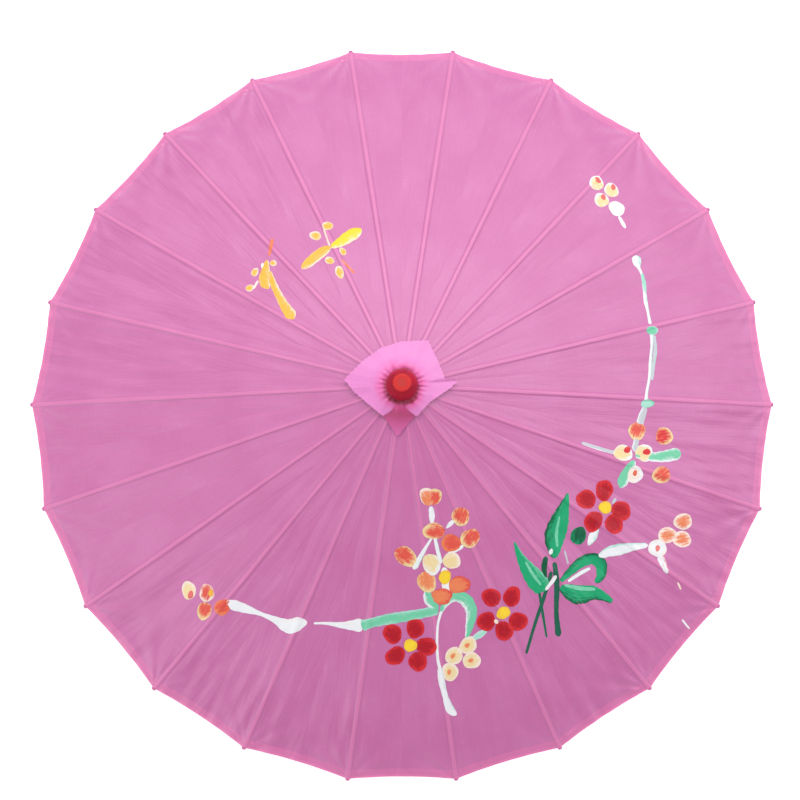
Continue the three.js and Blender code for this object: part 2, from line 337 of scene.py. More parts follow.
# finishes
clothLook = {
    "cloth": (0.535, 0.098, 0.336, 1), "pale": (0.57, 0.127, 0.374, 1), "thread": (0.74, 0.32, 0.56, 1),
    "hem": (0.74, 0.145, 0.39, 1), "edge": (0.84, 0.17, 0.44, 1), "rib": (0.73, 0.165, 0.42, 1),
    "ribShade": (0.34, 0.05, 0.18, 1),
    "hemWidth": 9.5 * mm, "ribLine": (1.25 * mm, 1.95 * mm),
}
# the last four colours are painted shade on the cap: in the turned-under corner, deeper near the knob, and in
# the gather round it
capLook = {
    "cloth": (0.75, 0.21, 0.56, 1), "pale": (0.82, 0.26, 0.64, 1), "rosyShade": (0.84, 0.06, 0.33, 1),
    "under": (0.60, 0.095, 0.34, 1), "valleyShade": (0.44, 0.012, 0.12, 1), "puckerShade": (0.36, 0.004, 0.035, 1),
}


# the first colour is painted shade on faces turned sideways or down, the second a painted highlight on faces
# turned up
lacquerLook = {
    "side": (0.13, 0.001, 0.010, 1), "litTop": (0.60, 0.035, 0.035, 1), "middle": (0.44, 0.055, 0.05, 1),
    "scuff": (0.58, 0.08, 0.06, 1),
}


def clothMaterial():
    look = clothLook
    material, tree, shader = newMaterial("coverCloth")
    place = surfacePlace(tree)
    woven = useGroup(tree, weave, {"Place": place, "Threads": 9000.0, "Slub": 900.0})
    across = attributeOf(tree, "fromRib")
    rim = attributeOf(tree, "fromRim")
    mottled = noiseOf(tree, place, 11.0, 3, 0.5)
    color = mixColors(tree, rangeMask(tree, mottled, 0.36, 0.66), look["cloth"], look["pale"])
    slubs = maths(tree, "MULTIPLY", rangeMask(tree, woven["Slubs"], 0.48, 0.68), 0.12)
    color = mixColors(tree, slubs, color, look["thread"])
    ragged = maths(tree, "MULTIPLY", maths(tree, "SUBTRACT", noiseOf(tree, place, 120.0, 3, 0.6), 0.5), 0.005)
    inside = maths(tree, "ADD", rim, ragged)
    hem = rangeMask(tree, inside, look["hemWidth"] + 0.0006, look["hemWidth"] - 0.0006)
    color = mixColors(tree, maths(tree, "MULTIPLY", hem, 0.55), color, look["hem"])
    fold = rangeMask(tree, inside, 0.0030, 0.0012)
    color = mixColors(tree, maths(tree, "MULTIPLY", fold, 0.7), color, look["edge"])
    wavy = maths(tree, "MULTIPLY", maths(tree, "SUBTRACT", noiseOf(tree, place, 60.0, 2), 0.5), 0.0010)
    # the rib shows through as a line that widens outwards, in widths of itself from its middle
    outwards = addNode(tree, "ShaderNodeSeparateXYZ", {"Vector": place}).outputs["Y"]
    widening = {"Value": outwards, "From Min": 0.05, "From Max": 0.3, "To Min": look["ribLine"][0],
                "To Max": look["ribLine"][1]}
    lineWidth = addNode(tree, "ShaderNodeMapRange", widening).outputs["Result"]
    beside = maths(tree, "DIVIDE", maths(tree, "ADD", across, wavy), lineWidth)
    shade = maths(tree, "MULTIPLY", rangeMask(tree, beside, 1.0, 1.3), rangeMask(tree, beside, 2.3, 1.5))
    color = mixColors(tree, maths(tree, "MULTIPLY", shade, 0.2), color, look["ribShade"])
    onRib = rangeMask(tree, beside, 1.16, 0.84)
    color = mixColors(tree, maths(tree, "MULTIPLY", onRib, 0.55), color, look["rib"])
    creased = noiseOf(tree, stretched(tree, place, (1, 0.07, 1)), 150.0, 3, 0.55)
    tension = bump(tree, creased, 0.75, 0.0015)
    values = {"Height": woven["Height"], "Strength": 0.3, "Distance": 0.00008, "Normal": tension}
    normal = addNode(tree, "ShaderNodeBump", values).outputs["Normal"]
    setShader(tree, shader, Base_Color=color, Roughness=0.52, Normal=normal, Sheen_Weight=0.1,
              Sheen_Roughness=0.5, Specular_IOR_Level=1.0, IOR=1.6)
    return material


def capMaterial():
    look = capLook
    material, tree, shader = newMaterial("capCloth")
    place = objectPlace(tree)
    woven = useGroup(tree, weave, {"Place": place, "Threads": 9000.0, "Slub": 700.0})
    middle = attributeOf(tree, "fromMiddle")
    slubs = maths(tree, "MULTIPLY", rangeMask(tree, woven["Slubs"], 0.45, 0.66), 0.3)
    color = mixColors(tree, slubs, look["cloth"], look["pale"])
    # painted shade: the turned-under corner, lying lower than the flaps beside it, is painted a darker pink
    color = mixColors(tree, maths(tree, "MULTIPLY", attributeOf(tree, "under"), 0.8), color, look["under"])
    # painted shade: inside the turned-under corner the cloth darkens further towards the knob
    color = mixColors(tree, maths(tree, "MULTIPLY", attributeOf(tree, "valleyShade"), 0.92), color, look["valleyShade"])
    soft = maths(tree, "MULTIPLY", maths(tree, "SUBTRACT", noiseOf(tree, place, 90.0, 2), 0.5), 0.010)
    uneven = maths(tree, "ADD", middle, soft)
    # painted shade: the cloth turns a deeper, rosier pink towards the knob, where it dips in
    blushShade = maths(tree, "MULTIPLY", rangeMask(tree, uneven, 0.031, 0.017), 0.75)
    color = mixColors(tree, blushShade, color, look["rosyShade"])
    # painted shade: a dark ring in the folds of the gather round the knob
    gatheredShade = maths(tree, "MULTIPLY", rangeMask(tree, uneven, 0.0205, 0.0165), 0.9)
    color = mixColors(tree, gatheredShade, color, look["puckerShade"])
    normal = bump(tree, woven["Height"], 0.3, 0.00008)
    setShader(tree, shader, Base_Color=color, Roughness=0.52, Normal=normal, Sheen_Weight=0.1,
              Sheen_Roughness=0.5, Specular_IOR_Level=0.9)
    return material


def bambooMaterial(name, pale, dark, source="UV"):
    material, tree, shader = newMaterial(name)
    place = surfacePlace(tree) if source == "UV" else uprightPlace(tree)
    values = {"Place": place, "Pale": pale, "Dark": dark, "Stretch": 0.025, "Scale": 1400.0}
    fibres = useGroup(tree, grain, values)
    along = addNode(tree, "ShaderNodeSeparateXYZ", {"Vector": place}).outputs["X"]
    ring = maths(tree, "PINGPONG", along, 0.046)
    knuckle = rangeMask(tree, ring, 0.0016, 0.0004)
    color = mixColors(tree, maths(tree, "MULTIPLY", knuckle, 0.55), fibres["Color"], dark)
    raised = maths(tree, "MULTIPLY", knuckle, 0.7)
    height = maths(tree, "ADD", maths(tree, "MULTIPLY", fibres["Height"], 0.5), raised)
    setShader(tree, shader, Base_Color=color, Roughness=between(tree, fibres["Height"], 0.38, 0.6),
              Normal=bump(tree, height, 0.5, 0.0002), Coat_Weight=0.12, Coat_Roughness=0.3)
    return material


def woodMaterial(name, pale, dark):
    material, tree, shader = newMaterial(name)
    values = {"Place": uprightPlace(tree), "Pale": pale, "Dark": dark, "Stretch": 0.09, "Scale": 700.0}
    fibres = useGroup(tree, grain, values)
    setShader(tree, shader, Base_Color=fibres["Color"], Roughness=0.5,
              Normal=bump(tree, fibres["Height"], 0.35, 0.00015), Coat_Weight=0.15, Coat_Roughness=0.35)
    return material


def lacquerMaterial(name, color, shade, gloss):
    material, tree, shader = newMaterial(name)
    place = objectPlace(tree)
    drift = noiseOf(tree, place, 70.0, 3, 0.5)
    rings = noiseOf(tree, stretched(tree, place, (1, 1, 9)), 60.0, 2, 0.5)
    base = mixColors(tree, rangeMask(tree, drift, 0.35, 0.65), shade, color)
    facing = addNode(tree, "ShaderNodeNewGeometry").outputs["Normal"]
    upward = addNode(tree, "ShaderNodeSeparateXYZ", {"Vector": facing}).outputs["Z"]
    # painted shade: faces turned sideways or down are darkened
    low = rangeMask(tree, upward, 0.42, 0.02)
    base = mixColors(tree, maths(tree, "MULTIPLY", low, 0.4), base, lacquerLook["side"])
    # painted highlight: faces turned up are painted lighter
    litTop = rangeMask(tree, maths(tree, "ADD", upward, maths(tree, "MULTIPLY", drift, 0.1)), 0.72, 1.02)
    base = mixColors(tree, litTop, base, lacquerLook["litTop"])
    values = {0: place, 1: (1, 1, 0)}
    flat = addNode(tree, "ShaderNodeVectorMath", values, operation="MULTIPLY").outputs["Vector"]
    fromAxis = addNode(tree, "ShaderNodeVectorMath", {0: flat}, operation="LENGTH").outputs["Value"]
    # the middle of the top is painted darker, within the painted highlight
    darkMiddle = maths(tree, "MULTIPLY", rangeMask(tree, fromAxis, 0.0056, 0.0038), litTop)
    base = mixColors(tree, maths(tree, "MULTIPLY", darkMiddle, 0.55), base, lacquerLook["middle"])
    scuff = rangeMask(tree, noiseOf(tree, place, 240.0, 4, 0.7), 0.62, 0.72)
    base = mixColors(tree, maths(tree, "MULTIPLY", scuff, 0.2), base, lacquerLook["scuff"])
    setShader(tree, shader, Base_Color=base, Roughness=between(tree, drift, 0.34, 0.48), Coat_Weight=gloss,
              Coat_Roughness=0.2, Specular_IOR_Level=0.12, Normal=bump(tree, rings, 0.2, 0.0003))
    return material


def threadMaterial(name, color, shade):
    material, tree, shader = newMaterial(name)
    place = objectPlace(tree)
    twist = noiseOf(tree, place, 1800.0, 2, 0.6)
    base = mixColors(tree, rangeMask(tree, twist, 0.35, 0.65), shade, color)
    setShader(tree, shader, Base_Color=base, Roughness=0.85, Normal=bump(tree, twist, 0.6, 0.0002))
    return material


def steelMaterial():
    material, tree, shader = newMaterial("springSteel")
    place = stretched(tree, objectPlace(tree), (1, 1, 0.06))
    lines = noiseOf(tree, place, 2400.0, 3, 0.6)
    base = mixColors(tree, lines, (0.48, 0.48, 0.50, 1), (0.66, 0.66, 0.68, 1))
    setShader(tree, shader, Base_Color=base, Metallic=1.0, Roughness=between(tree, lines, 0.25, 0.45),
              Normal=bump(tree, lines, 0.2, 0.0001))
    return material


def paintMaterial():
    # each stroke carries two colours and a place between them; bristle streaks break up where they meet
    material, tree, shader = newMaterial("brushPaint")
    place = surfacePlace(tree)
    streaks = noiseOf(tree, stretched(tree, place, (0.10, 1, 1)), 560.0, 3, 0.6)
    blotches = noiseOf(tree, place, 260.0, 2, 0.5)
    patchy = maths(tree, "MULTIPLY", blotches, 0.35)
    uneven = maths(tree, "ADD", maths(tree, "MULTIPLY", streaks, 0.65), patchy)
    shift = maths(tree, "MULTIPLY", maths(tree, "SUBTRACT", uneven, 0.5), 2.3)
    blend = maths(tree, "ADD", attributeOf(tree, "between"), shift)
    base = mixColors(tree, rangeMask(tree, blend, 0.12, 0.88), attributeOf(tree, "body", "Color"),
                     attributeOf(tree, "edge", "Color"))
    dry = maths(tree, "MULTIPLY", rangeMask(tree, streaks, 0.40, 0.22), 0.35)
    base = mixColors(tree, dry, base, (0.45, 0.10, 0.28, 1))
    setShader(tree, shader, Base_Color=base, Roughness=0.42, Specular_IOR_Level=0.3,
              Normal=bump(tree, streaks, 0.6, 0.0004))
    return material


coverCloth = clothMaterial()
capCloth = capMaterial()
ribBamboo = bambooMaterial("ribBamboo", (0.72, 0.50, 0.24, 1), (0.47, 0.27, 0.10, 1))
stretcherBamboo = bambooMaterial("stretcherBamboo", (0.76, 0.56, 0.30, 1), (0.52, 0.32, 0.13, 1))
shaftBamboo = bambooMaterial("shaftBamboo", (0.66, 0.43, 0.18, 1), (0.40, 0.21, 0.07, 1), "Object")
hubWood = woodMaterial("hubWood", (0.70, 0.50, 0.28, 1), (0.46, 0.28, 0.13, 1))
knobLacquer = lacquerMaterial("knobLacquer", (0.44, 0.004, 0.022, 1), (0.32, 0.002, 0.016, 1), 0.04)
gripLacquer = lacquerMaterial("gripLacquer", (0.40, 0.006, 0.018, 1), (0.28, 0.003, 0.012, 1), 0.6)
hingeThread = threadMaterial("hingeThread", (0.85, 0.80, 0.70, 1), (0.55, 0.48, 0.38, 1))
pinkThread = threadMaterial("pinkThread", (0.80, 0.30, 0.55, 1), (0.48, 0.12, 0.30, 1))
springSteel = steelMaterial()
brushPaint = paintMaterial()
print("materials made")


# the cover
cover = {
    "thickness": 0.35 * mm, "gap": 0.15 * mm, "rows": 110, "columns": 16, "bandColumns": 7,
    "bandHalf": 1.95 * mm, "inner": 20 * mm, "shoulder": 34 * mm, "ribHalf": 1.6 * mm,
    "ridge": 1.15 * mm, "sag": 2.4 * mm, "crease": 0.4 * mm, "rimBow": 2.4 * mm,
    "hem": 9.5 * mm, "hemThickness": 0.4 * mm, "tipWrinkle": 0.7 * mm, "wave": 0.75 * mm, "seed": 7,
}
draw = np.random.default_rng(cover["seed"])
waves = {
    "phase": draw.uniform(0, 2 * math.pi, (ribCount, 8)),
    "turn": draw.uniform(-0.35, 0.35, (ribCount, 4)),
    "size": draw.uniform(0.5, 1.3, (ribCount, 8)),
    "length": draw.uniform(0.8, 1.25, (ribCount, 4)),
}


def overRib(radius):
    # height of the cover's top face on the line of a rib
    along = (radius - lacingRadius - ribTop * math.sin(openAngle)) / math.cos(openAngle)
    face = hubHeight - along * math.sin(openAngle) + ribTop * math.cos(openAngle)
    return face + (cover["gap"] + cover["thickness"]) / math.cos(openAngle)


def crownHeight(radius):
    crown = hubTop + cover["gap"] + cover["thickness"]
    share = smoothstep((radius - hubRadius) / (cover["shoulder"] - hubRadius))
    return crown + (overRib(np.maximum(radius, hubRadius)) - crown) * share


def panelField(panel, rho, ell, half):
    # how far the cloth of one panel lies off the straight line between its ribs
    c = cover
    u = np.abs(ell) / half
    q = half - np.abs(ell)
    free = smoothstep((q - c["bandHalf"]) / 0.006)
    far = np.clip(rho / canopyRadius, 0, 1)
    grown = np.clip((rho - 0.024) / 0.05, 0, 1)
    off = -c["ridge"] * smoothstep((q - c["ribHalf"]) / 0.0022) * grown
    off -= c["sag"] * far**2 * (1 - u**2)
    off -= c["crease"] * np.exp(-np.abs(ell) / 0.0016) * grown
    phase, turn = waves["phase"][panel], waves["turn"][panel]
    size, length = waves["size"][panel], waves["length"][panel]
    for k, (wide, long) in enumerate(((0.034, 0.50), (0.021, 0.26), (0.015, 0.17))):
        x = ell * np.cos(turn[..., k]) + (rho - 0.3) * np.sin(turn[..., k]) * 0.35
        ripple = np.sin(2 * math.pi * x / (wide * length[..., k]) + phase[..., k])
        swell = 0.6 + 0.4 * np.sin(2 * math.pi * rho / long + phase[..., k + 3])
        off += c["wave"] * size[..., k] * ripple * swell * free * far**1.2 / (1 + 0.7 * k)
    for side in (-1, 1):
        inward = canopyRadius - rho
        aside = half + side * ell
        reach = np.hypot(inward, aside) + 1e-6
        angle = np.arctan2(aside, inward)
        fan = np.sin((9 + 3 * size[..., 3]) * angle + phase[..., 6 + (side > 0)])
        off += c["tipWrinkle"] * size[..., 4] * fan * np.exp(-reach / 0.075) * smoothstep(reach / 0.02) * free
    flutter = np.sin(2 * math.pi * ell / 0.031 + phase[..., 7])
    flutter = flutter + 0.5 * np.sin(2 * math.pi * ell / 0.017 + phase[..., 5])
    off += 0.00035 * flutter * np.exp(-(canopyRadius - rho) / 0.02) * free
    return off


def coverHeight(x, y):
    # the same surface over a point of the ground plan
    panel = np.floor(np.arctan2(y, x) / pitch).astype(int) % ribCount
    middle = (panel + 0.5) * pitch
    ell = -x * np.sin(middle) + y * np.cos(middle)
    rho = (x * np.cos(middle) + y * np.sin(middle)) / math.cos(pitch / 2)
    return crownHeight(rho) + panelField(panel, rho, ell, rho * math.sin(pitch / 2))


def coverPoint(i, t, s):
    # the cover's top face: t from the crown (0) to the rim (1), s metres across from the line of rib i
    c = cover
    side = np.where(s >= 0, 1.0, -1.0)
    panel = np.where(s >= 0, i, i - 1) % ribCount
    nominal = c["inner"] + t * (canopyRadius - c["inner"])
    halfNominal = nominal * math.sin(pitch / 2)
    along = np.abs(s) / halfNominal - 1
    rim = canopyRadius - c["rimBow"] * (1 - along**2)
    rho = c["inner"] + t * (rim - c["inner"])
    half = rho * math.sin(pitch / 2)
    ell = side * along * half
    middle = (panel + 0.5) * pitch
    flat = rho * math.cos(pitch / 2)
    x = flat * np.cos(middle) - ell * np.sin(middle)
    y = flat * np.sin(middle) + ell * np.cos(middle)
    off = panelField(panel, rho, ell, half)
    z = crownHeight(rho) + off
    return np.stack([x, y, z], -1), rho, (rim - rho) / math.cos(openAngle)


def coverNormal(i, t, s):
    step = 0.0004
    tStep = step / canopyRadius
    down = coverPoint(i, t + tStep, s)[0] - coverPoint(i, t - tStep, s)[0]
    over = coverPoint(i, t, s + step)[0] - coverPoint(i, t, s - step)[0]
    normal = np.cross(down, over)
    return normal / np.linalg.norm(normal, axis=-1, keepdims=True)


def coverStrip(name, i, t, s):
    points, rho, fromRim = coverPoint(i, t, s)
    normals = coverNormal(i, t, s)
    doubled = smoothstep((cover["hem"] - fromRim) / 0.0012 + 0.5)
    thickness = cover["thickness"] + cover["hemThickness"] * doubled
    thickness = np.where(np.abs(s) < cover["bandHalf"] + 1e-6, cover["thickness"], thickness)
    attributes = {"fromRib": np.abs(s), "fromRim": fromRim}
    piece = shell(name, points, normals, thickness, coverCloth, attributes, (s, rho / math.cos(openAngle)))
    return piece


ribRows = np.linspace(0, 1, cover["rows"]) ** 0.92


def rideRib(piece, i, side=0, narrow=False):
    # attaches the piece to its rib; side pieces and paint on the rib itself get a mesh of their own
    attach(piece, "rib_" + ribNumber(i))
    if narrow:
        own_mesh(piece)
    if side:
        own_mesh(piece)


for i in range(ribCount):
    name = ribNumber(i)
    s = np.linspace(-cover["bandHalf"], cover["bandHalf"], cover["bandColumns"])
    tGrid, sGrid = np.meshgrid(ribRows, s, indexing="ij")
    band = coverStrip("cover_band_" + name, i, tGrid, sGrid)
    rideRib(band, i)
    for side, word in ((1, "left"), (-1, "right")):
        nominal = cover["inner"] + tGrid[:, :1] * (canopyRadius - cover["inner"])
        share = np.linspace(0, 1, cover["columns"])[None, :] ** 1.15
        width = nominal * math.sin(pitch / 2) - cover["bandHalf"]
        s = side * (cover["bandHalf"] + share * width)
        if side < 0:
            s = s[:, ::-1]
        gore = coverStrip(f"cover_{word}_{name}", i, np.broadcast_to(ribRows[:, None], s.shape), s)
        rideRib(gore, i, side)
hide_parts("cover")


# the cap
cap = {
    "thickness": 0.4 * mm, "lift": 0.5 * mm, "columns": 25, "rows": 34, "bend": 24 * mm, "inner": 9 * mm,
    "tooth": 1.1 * mm, "toothPitch": 4.0 * mm, "pleat": 0.75 * mm, "pleats": 22, "flap": 2.4 * mm,
    "veeAngle": math.radians(-94), "veeHalf": math.radians(12), "veeSpread": math.radians(17),
    "shingle": math.radians(60), "keep": 0.5, "anchor": 2.0 * mm,
    "creases": [(8.5, 1.2, 1.0), (-174, 3, -0.7), (61, 4, 0.5), (128, 5, -0.6), (150, 4, 0.5), (-35, 5, 0.5)],
    "outline": [
        (-175, 50), (-153, 39), (-118, 37), (-95, 51), (-70, 34), (-61, 34), (-29, 33), (-1, 50),
        (7, 58), (11, 45), (31, 45), (61, 56), (92, 47), (119, 46), (147, 49), (172, 60),
    ],
}
outlineAngles = np.radians([a for a, r in cap["outline"]])
outlineReach = np.array([r for a, r in cap["outline"]]) * mm


def capEdge(angle):
    wrapped = (angle + math.pi) % (2 * math.pi) - math.pi
    x, y = outlineReach * np.cos(outlineAngles), outlineReach * np.sin(outlineAngles)
    order = np.append(outlineAngles, outlineAngles[0] + 2 * math.pi)
    xs, ys = np.append(x, x[0]), np.append(y, y[0])
    wrapped = np.where(wrapped < outlineAngles[0], wrapped + 2 * math.pi, wrapped)
    k = np.clip(np.searchsorted(order, wrapped, side="right") - 1, 0, len(x) - 1)
    ax, ay, bx, by = xs[k], ys[k], xs[k + 1], ys[k + 1]
    ux, uy = np.cos(wrapped), np.sin(wrapped)
    cross = (bx - ax) * uy - (by - ay) * ux
    reach = ((bx - ax) * ay - (by - ay) * ax) / np.where(np.abs(cross) < 1e-9, 1e-9, cross) * -1
    teeth = np.abs(((wrapped * 0.045 / cap["toothPitch"]) % 1) - 0.5) * 2 - 0.5
    return np.abs(reach) + cap["tooth"] * teeth


def capVee(angle, outer):
    # 1 inside the corner that is turned under, which widens towards its edge
    off = np.abs((angle - cap["veeAngle"] + math.pi) % (2 * math.pi) - math.pi)
    half = cap["veeHalf"] + cap["veeSpread"] * np.clip(outer, 0, 1)
    return smoothstep((half + 0.03 - off) / 0.06)


def capOuter(radius, angle):
    return np.clip((radius - 0.019) / (capEdge(angle) - 0.019), 0, 1.2)


def capPoint(radius, angle):
    nearest = np.round(angle / pitch).astype(int)
    local = angle - nearest * pitch
    rho = radius * np.cos(pitch / 2 - np.abs(local)) / math.cos(pitch / 2)
    z = crownHeight(rho) + cap["lift"] + cap["thickness"]
    outer = capOuter(radius, angle)
    wrapped = (angle + math.pi) % (2 * math.pi) - math.pi
    fold = np.sin(5 * angle + 0.8) + 0.6 * np.sin(8 * angle + 2.1) + 0.35 * np.sin(13 * angle)
    z = z + 0.0006 * outer * (1.6 + fold) + cap["flap"] * outer**0.7 * (1 - capVee(angle, outer))
    for place, width, size in cap["creases"]:
        off = wrapped - math.radians(place)
        step = np.tanh(off / math.radians(width)) * np.exp(-(off / 0.5)**2)
        z = z + size * mm * np.clip(outer, 0, 1) * step
    near = smoothstep((0.031 - radius) / 0.012) * smoothstep((radius - 0.010) / 0.004)
    gather = np.sin(cap["pleats"] * angle + 3.5 * np.sin(2 * angle))
    gather = gather + 0.9 * np.sin(11 * angle + 1 + np.sin(3 * angle))
    z = z + cap["pleat"] * near * (1.0 + (0.55 + 0.3 * np.sin(3 * angle + 0.6)) * gather)
    return np.stack([radius * np.cos(angle), radius * np.sin(angle), z], -1)


def capPiece(name, inner, outer, angles, rows):
    share = np.linspace(0, 1, rows)[:, None]
    angle = np.broadcast_to(angles[None, :], (rows, len(angles)))
    radius = inner + share * (outer - inner)
    points = capPoint(radius, angle)
    step = 0.0003
    down = capPoint(radius + step, angle) - capPoint(radius - step, angle)
    over = capPoint(radius, angle + step / 0.03) - capPoint(radius, angle - step / 0.03)
    normals = np.cross(down, over)
    normals /= np.linalg.norm(normals, axis=-1, keepdims=True)
    thickness = np.full(radius.shape, cap["thickness"])
    # where the painted shade of the turned-under corner goes
    under = capVee(angle, capOuter(radius, angle))
    # painted shade, strongest near the knob inside the turned-under corner
    valleyShade = under * smoothstep((0.054 - radius) / 0.03)
    attributes = {"fromMiddle": radius, "under": under, "valleyShade": valleyShade}
    piece = shell(name, points, normals, thickness, capCloth, attributes, (radius * angle, radius))
    return piece


capPieces = []
for i in range(ribCount):
    name = ribNumber(i)
    angles = np.linspace((i - 0.5) * pitch, (i + 0.5) * pitch, cap["columns"])
    origin, along, face, across = armFrame(i)
    neck = capPiece("cap_neck_" + name, np.full(cap["columns"], cap["inner"])[None, :],
                    np.full(cap["columns"], cap["bend"])[None, :], angles, 16)
    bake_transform(neck)
    skirt = capPiece("cap_skirt_" + name, np.full(cap["columns"], cap["bend"])[None, :],
                     capEdge(angles)[None, :], angles, cap["rows"])
    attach(skirt, "rib_" + name)
    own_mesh(skirt)
    capPieces += [neck, skirt]
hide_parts("cap_cloth")
print("cap made")


# arms: softened copies of the ribs and stretchers
def copyNode(node, name, material):
    source = frame["nodes"][node].data.copy()
    piece = bpy.data.objects.new(name, source)
    scene.collection.objects.link(piece)
    work = bmesh.new()
    work.from_mesh(source)
    bmesh.ops.remove_doubles(work, verts=work.verts, dist=1e-6)
    bmesh.ops.dissolve_limit(work, angle_limit=math.radians(1), verts=work.verts, edges=work.edges)
    work.to_mesh(source)
    work.free()
    source.materials.clear()
    source.materials.append(material)
    return piece


def shadeSmooth(mesh, degrees):
    # round shading, with edges sharper than the angle kept crisp
    mesh.set_sharp_from_angle(angle=math.radians(degrees))
    mesh.polygons.foreach_set("use_smooth", [True] * len(mesh.polygons))


def bakeModifiers(piece):
    graph = bpy.context.evaluated_depsgraph_get()
    mesh = bpy.data.meshes.new_from_object(piece.evaluated_get(graph))
    piece.modifiers.clear()
    piece.data = mesh


def soften(piece, width):
    bevel = piece.modifiers.new("edges", "BEVEL")
    bevel.width = width
    bevel.segments = 2
    bevel.limit_method = "ANGLE"
    bevel.angle_limit = math.radians(30)
    bevel.harden_normals = False
    bakeModifiers(piece)
    shadeSmooth(piece.data, 40)


armPieces = {"edge": 0.35 * mm}


def armUv(piece, origin, along, face, across, shift):
    co = np.array([v.co for v in piece.data.vertices]).reshape(-1, 3) - np.array(origin)
    if piece.data.uv_layers:
        piece.data.uv_layers.remove(piece.data.uv_layers[0])
    setUv(piece, co @ np.array(along) + shift, co @ np.array(across) + 1.7 * (co @ np.array(face)) + shift)


for i in range(ribCount):
    name = ribNumber(i)
    origin, along, face, across = armFrame(i)
    rib = copyNode("rib_" + name, "rib_bar_" + name, ribBamboo)
    soften(rib, armPieces["edge"])
    armUv(rib, origin, along, face, across, 0.37 * i)
    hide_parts("rib_" + name)
    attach(rib, "rib_" + name)
    stretcher = copyNode("stretcher_" + name, "stretcher_bar_" + name, stretcherBamboo)
    soften(stretcher, armPieces["edge"])
    inward = along - 2 * along.dot(Vector((0, 0, 1))) * Vector((0, 0, 1))
    armUv(stretcher, origin, inward, face, across, 0.53 * i)
    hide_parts("stretcher_" + name)
    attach(stretcher, "stretcher_" + name)
print("ribs and stretchers made")


# turned and small pieces
def turnedPiece(name, profile, material, segments=72):
    vertices, faces = [], []
    for r, z in profile:
        for k in range(segments):
            a = 2 * math.pi * k / segments
            vertices.append((r * math.cos(a), r * math.sin(a), z))
    count = len(profile)
    for row in range(count):
        nextRow = (row + 1) % count
        for k in range(segments):
            k2 = (k + 1) % segments
            low, high = row * segments, nextRow * segments
            faces.append((low + k, low + k2, high + k2, high + k))
    piece = addMesh(name, vertices, faces, material)
    work = bmesh.new()
    work.from_mesh(piece.data)
    bmesh.ops.remove_doubles(work, verts=work.verts, dist=1e-7)
    bmesh.ops.recalc_face_normals(work, faces=work.faces)
    work.to_mesh(piece.data)
    work.free()
    piece.data.set_sharp_from_angle(angle=math.radians(50))
    return piece


def smoothProfile(points, steps=6):
    # a smooth outline through [radius, height] points
    p = [points[0], *points, points[-1]]
    out = []
    for k in range(1, len(p) - 2):
        a, b, c, d = (np.array(q) for q in p[k - 1:k + 3])
        for step in range(steps):
            out.append(curveThrough(a, b, c, d, step / steps))
    out.append(np.array(points[-1]))
    return [(max(float(q[0]), 0.0), float(q[1])) for q in out]


def finial():
    low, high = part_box("finial")
    r, h, z = high.x, high.z - low.z, low.z
    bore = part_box("shaft")[1].x + 0.3 * mm
    shape = [(0.66, 0.0), (0.85, 0.05), (0.985, 0.17), (1.0, 0.30), (0.975, 0.44), (0.89, 0.62), (0.76, 0.80),
             (0.64, 0.925), (0.585, 0.965), (0.53, 0.988), (0.45, 0.998), (0.25, 1.0)]
    outside = smoothProfile([(a * r, z + b * h) for a, b in shape])
    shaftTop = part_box("shaft")[1].z + 0.3 * mm
    profile = [(bore, z), *outside, (0, z + h), (0, shaftTop), (bore, shaftTop)]
    piece = turnedPiece("finial_knob", profile, knobLacquer, 96)
    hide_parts("finial")
    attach(piece, "root")


def grip():
    piece = copyNode("handle", "handle_grip", gripLacquer)
    soften(piece, 0.3 * mm)
    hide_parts("handle")
    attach(piece, "root")


def coverCrown():
    outer, bore = cover["inner"] + 0.5 * mm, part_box("shaft")[1].x + 0.4 * mm
    low = hubTop + cover["gap"]
    high = low + cover["thickness"]
    rise = [(bore + (outer - bore) * k / 6, 0.06 * mm * math.sin(math.pi * k / 6)) for k in range(7)]
    profile = [(r, high + up) for r, up in rise] + [(r, low + up) for r, up in rise[::-1]]
    piece = turnedPiece("cover_crown", profile, coverCloth)
    radius = np.array([math.hypot(v.co.x, v.co.y) for v in piece.data.vertices])
    angle = np.array([math.atan2(v.co.y, v.co.x) for v in piece.data.vertices])
    setFloat(piece, "fromRib", np.full(len(radius), 0.01))
    setFloat(piece, "fromRim", canopyRadius - radius)
    setUv(piece, radius * np.cos(angle), radius * np.sin(angle))
    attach(piece, "root")


coverCrown()
finial()
grip()
nodeFinishes = {
    "shaft": shaftBamboo, "top_hub": hubWood, "runner": hubWood, "catch_spring": springSteel,
    "top_hub_pin": springSteel, "top_hub_thread": hingeThread, "runner_thread": hingeThread,
}
for node, material in nodeFinishes.items():
    mesh = frame["nodes"][node].data
    mesh.materials.clear()
    mesh.materials.append(material)
    shadeSmooth(mesh, 32)
print("turned pieces made")


# brushwork
tints = {
    "red": (0.68, 0.024, 0.034), "deepRed": (0.43, 0.005, 0.017), "rose": (0.78, 0.16, 0.16),
    "coral": (0.74, 0.090, 0.066), "orange": (0.81, 0.23, 0.10), "cream": (0.84, 0.66, 0.34),
    "shell": (0.90, 0.76, 0.68), "white": (0.84, 0.85, 0.89), "yellow": (0.93, 0.66, 0.035),
    "gold": (0.88, 0.47, 0.06), "green": (0.010, 0.37, 0.16), "deepGreen": (0.003, 0.10, 0.045),
    "mint": (0.17, 0.60, 0.38), "teal": (0.38, 0.70, 0.60), "grey": (0.54, 0.57, 0.62),
    "stem": (0.012, 0.12, 0.075),
}
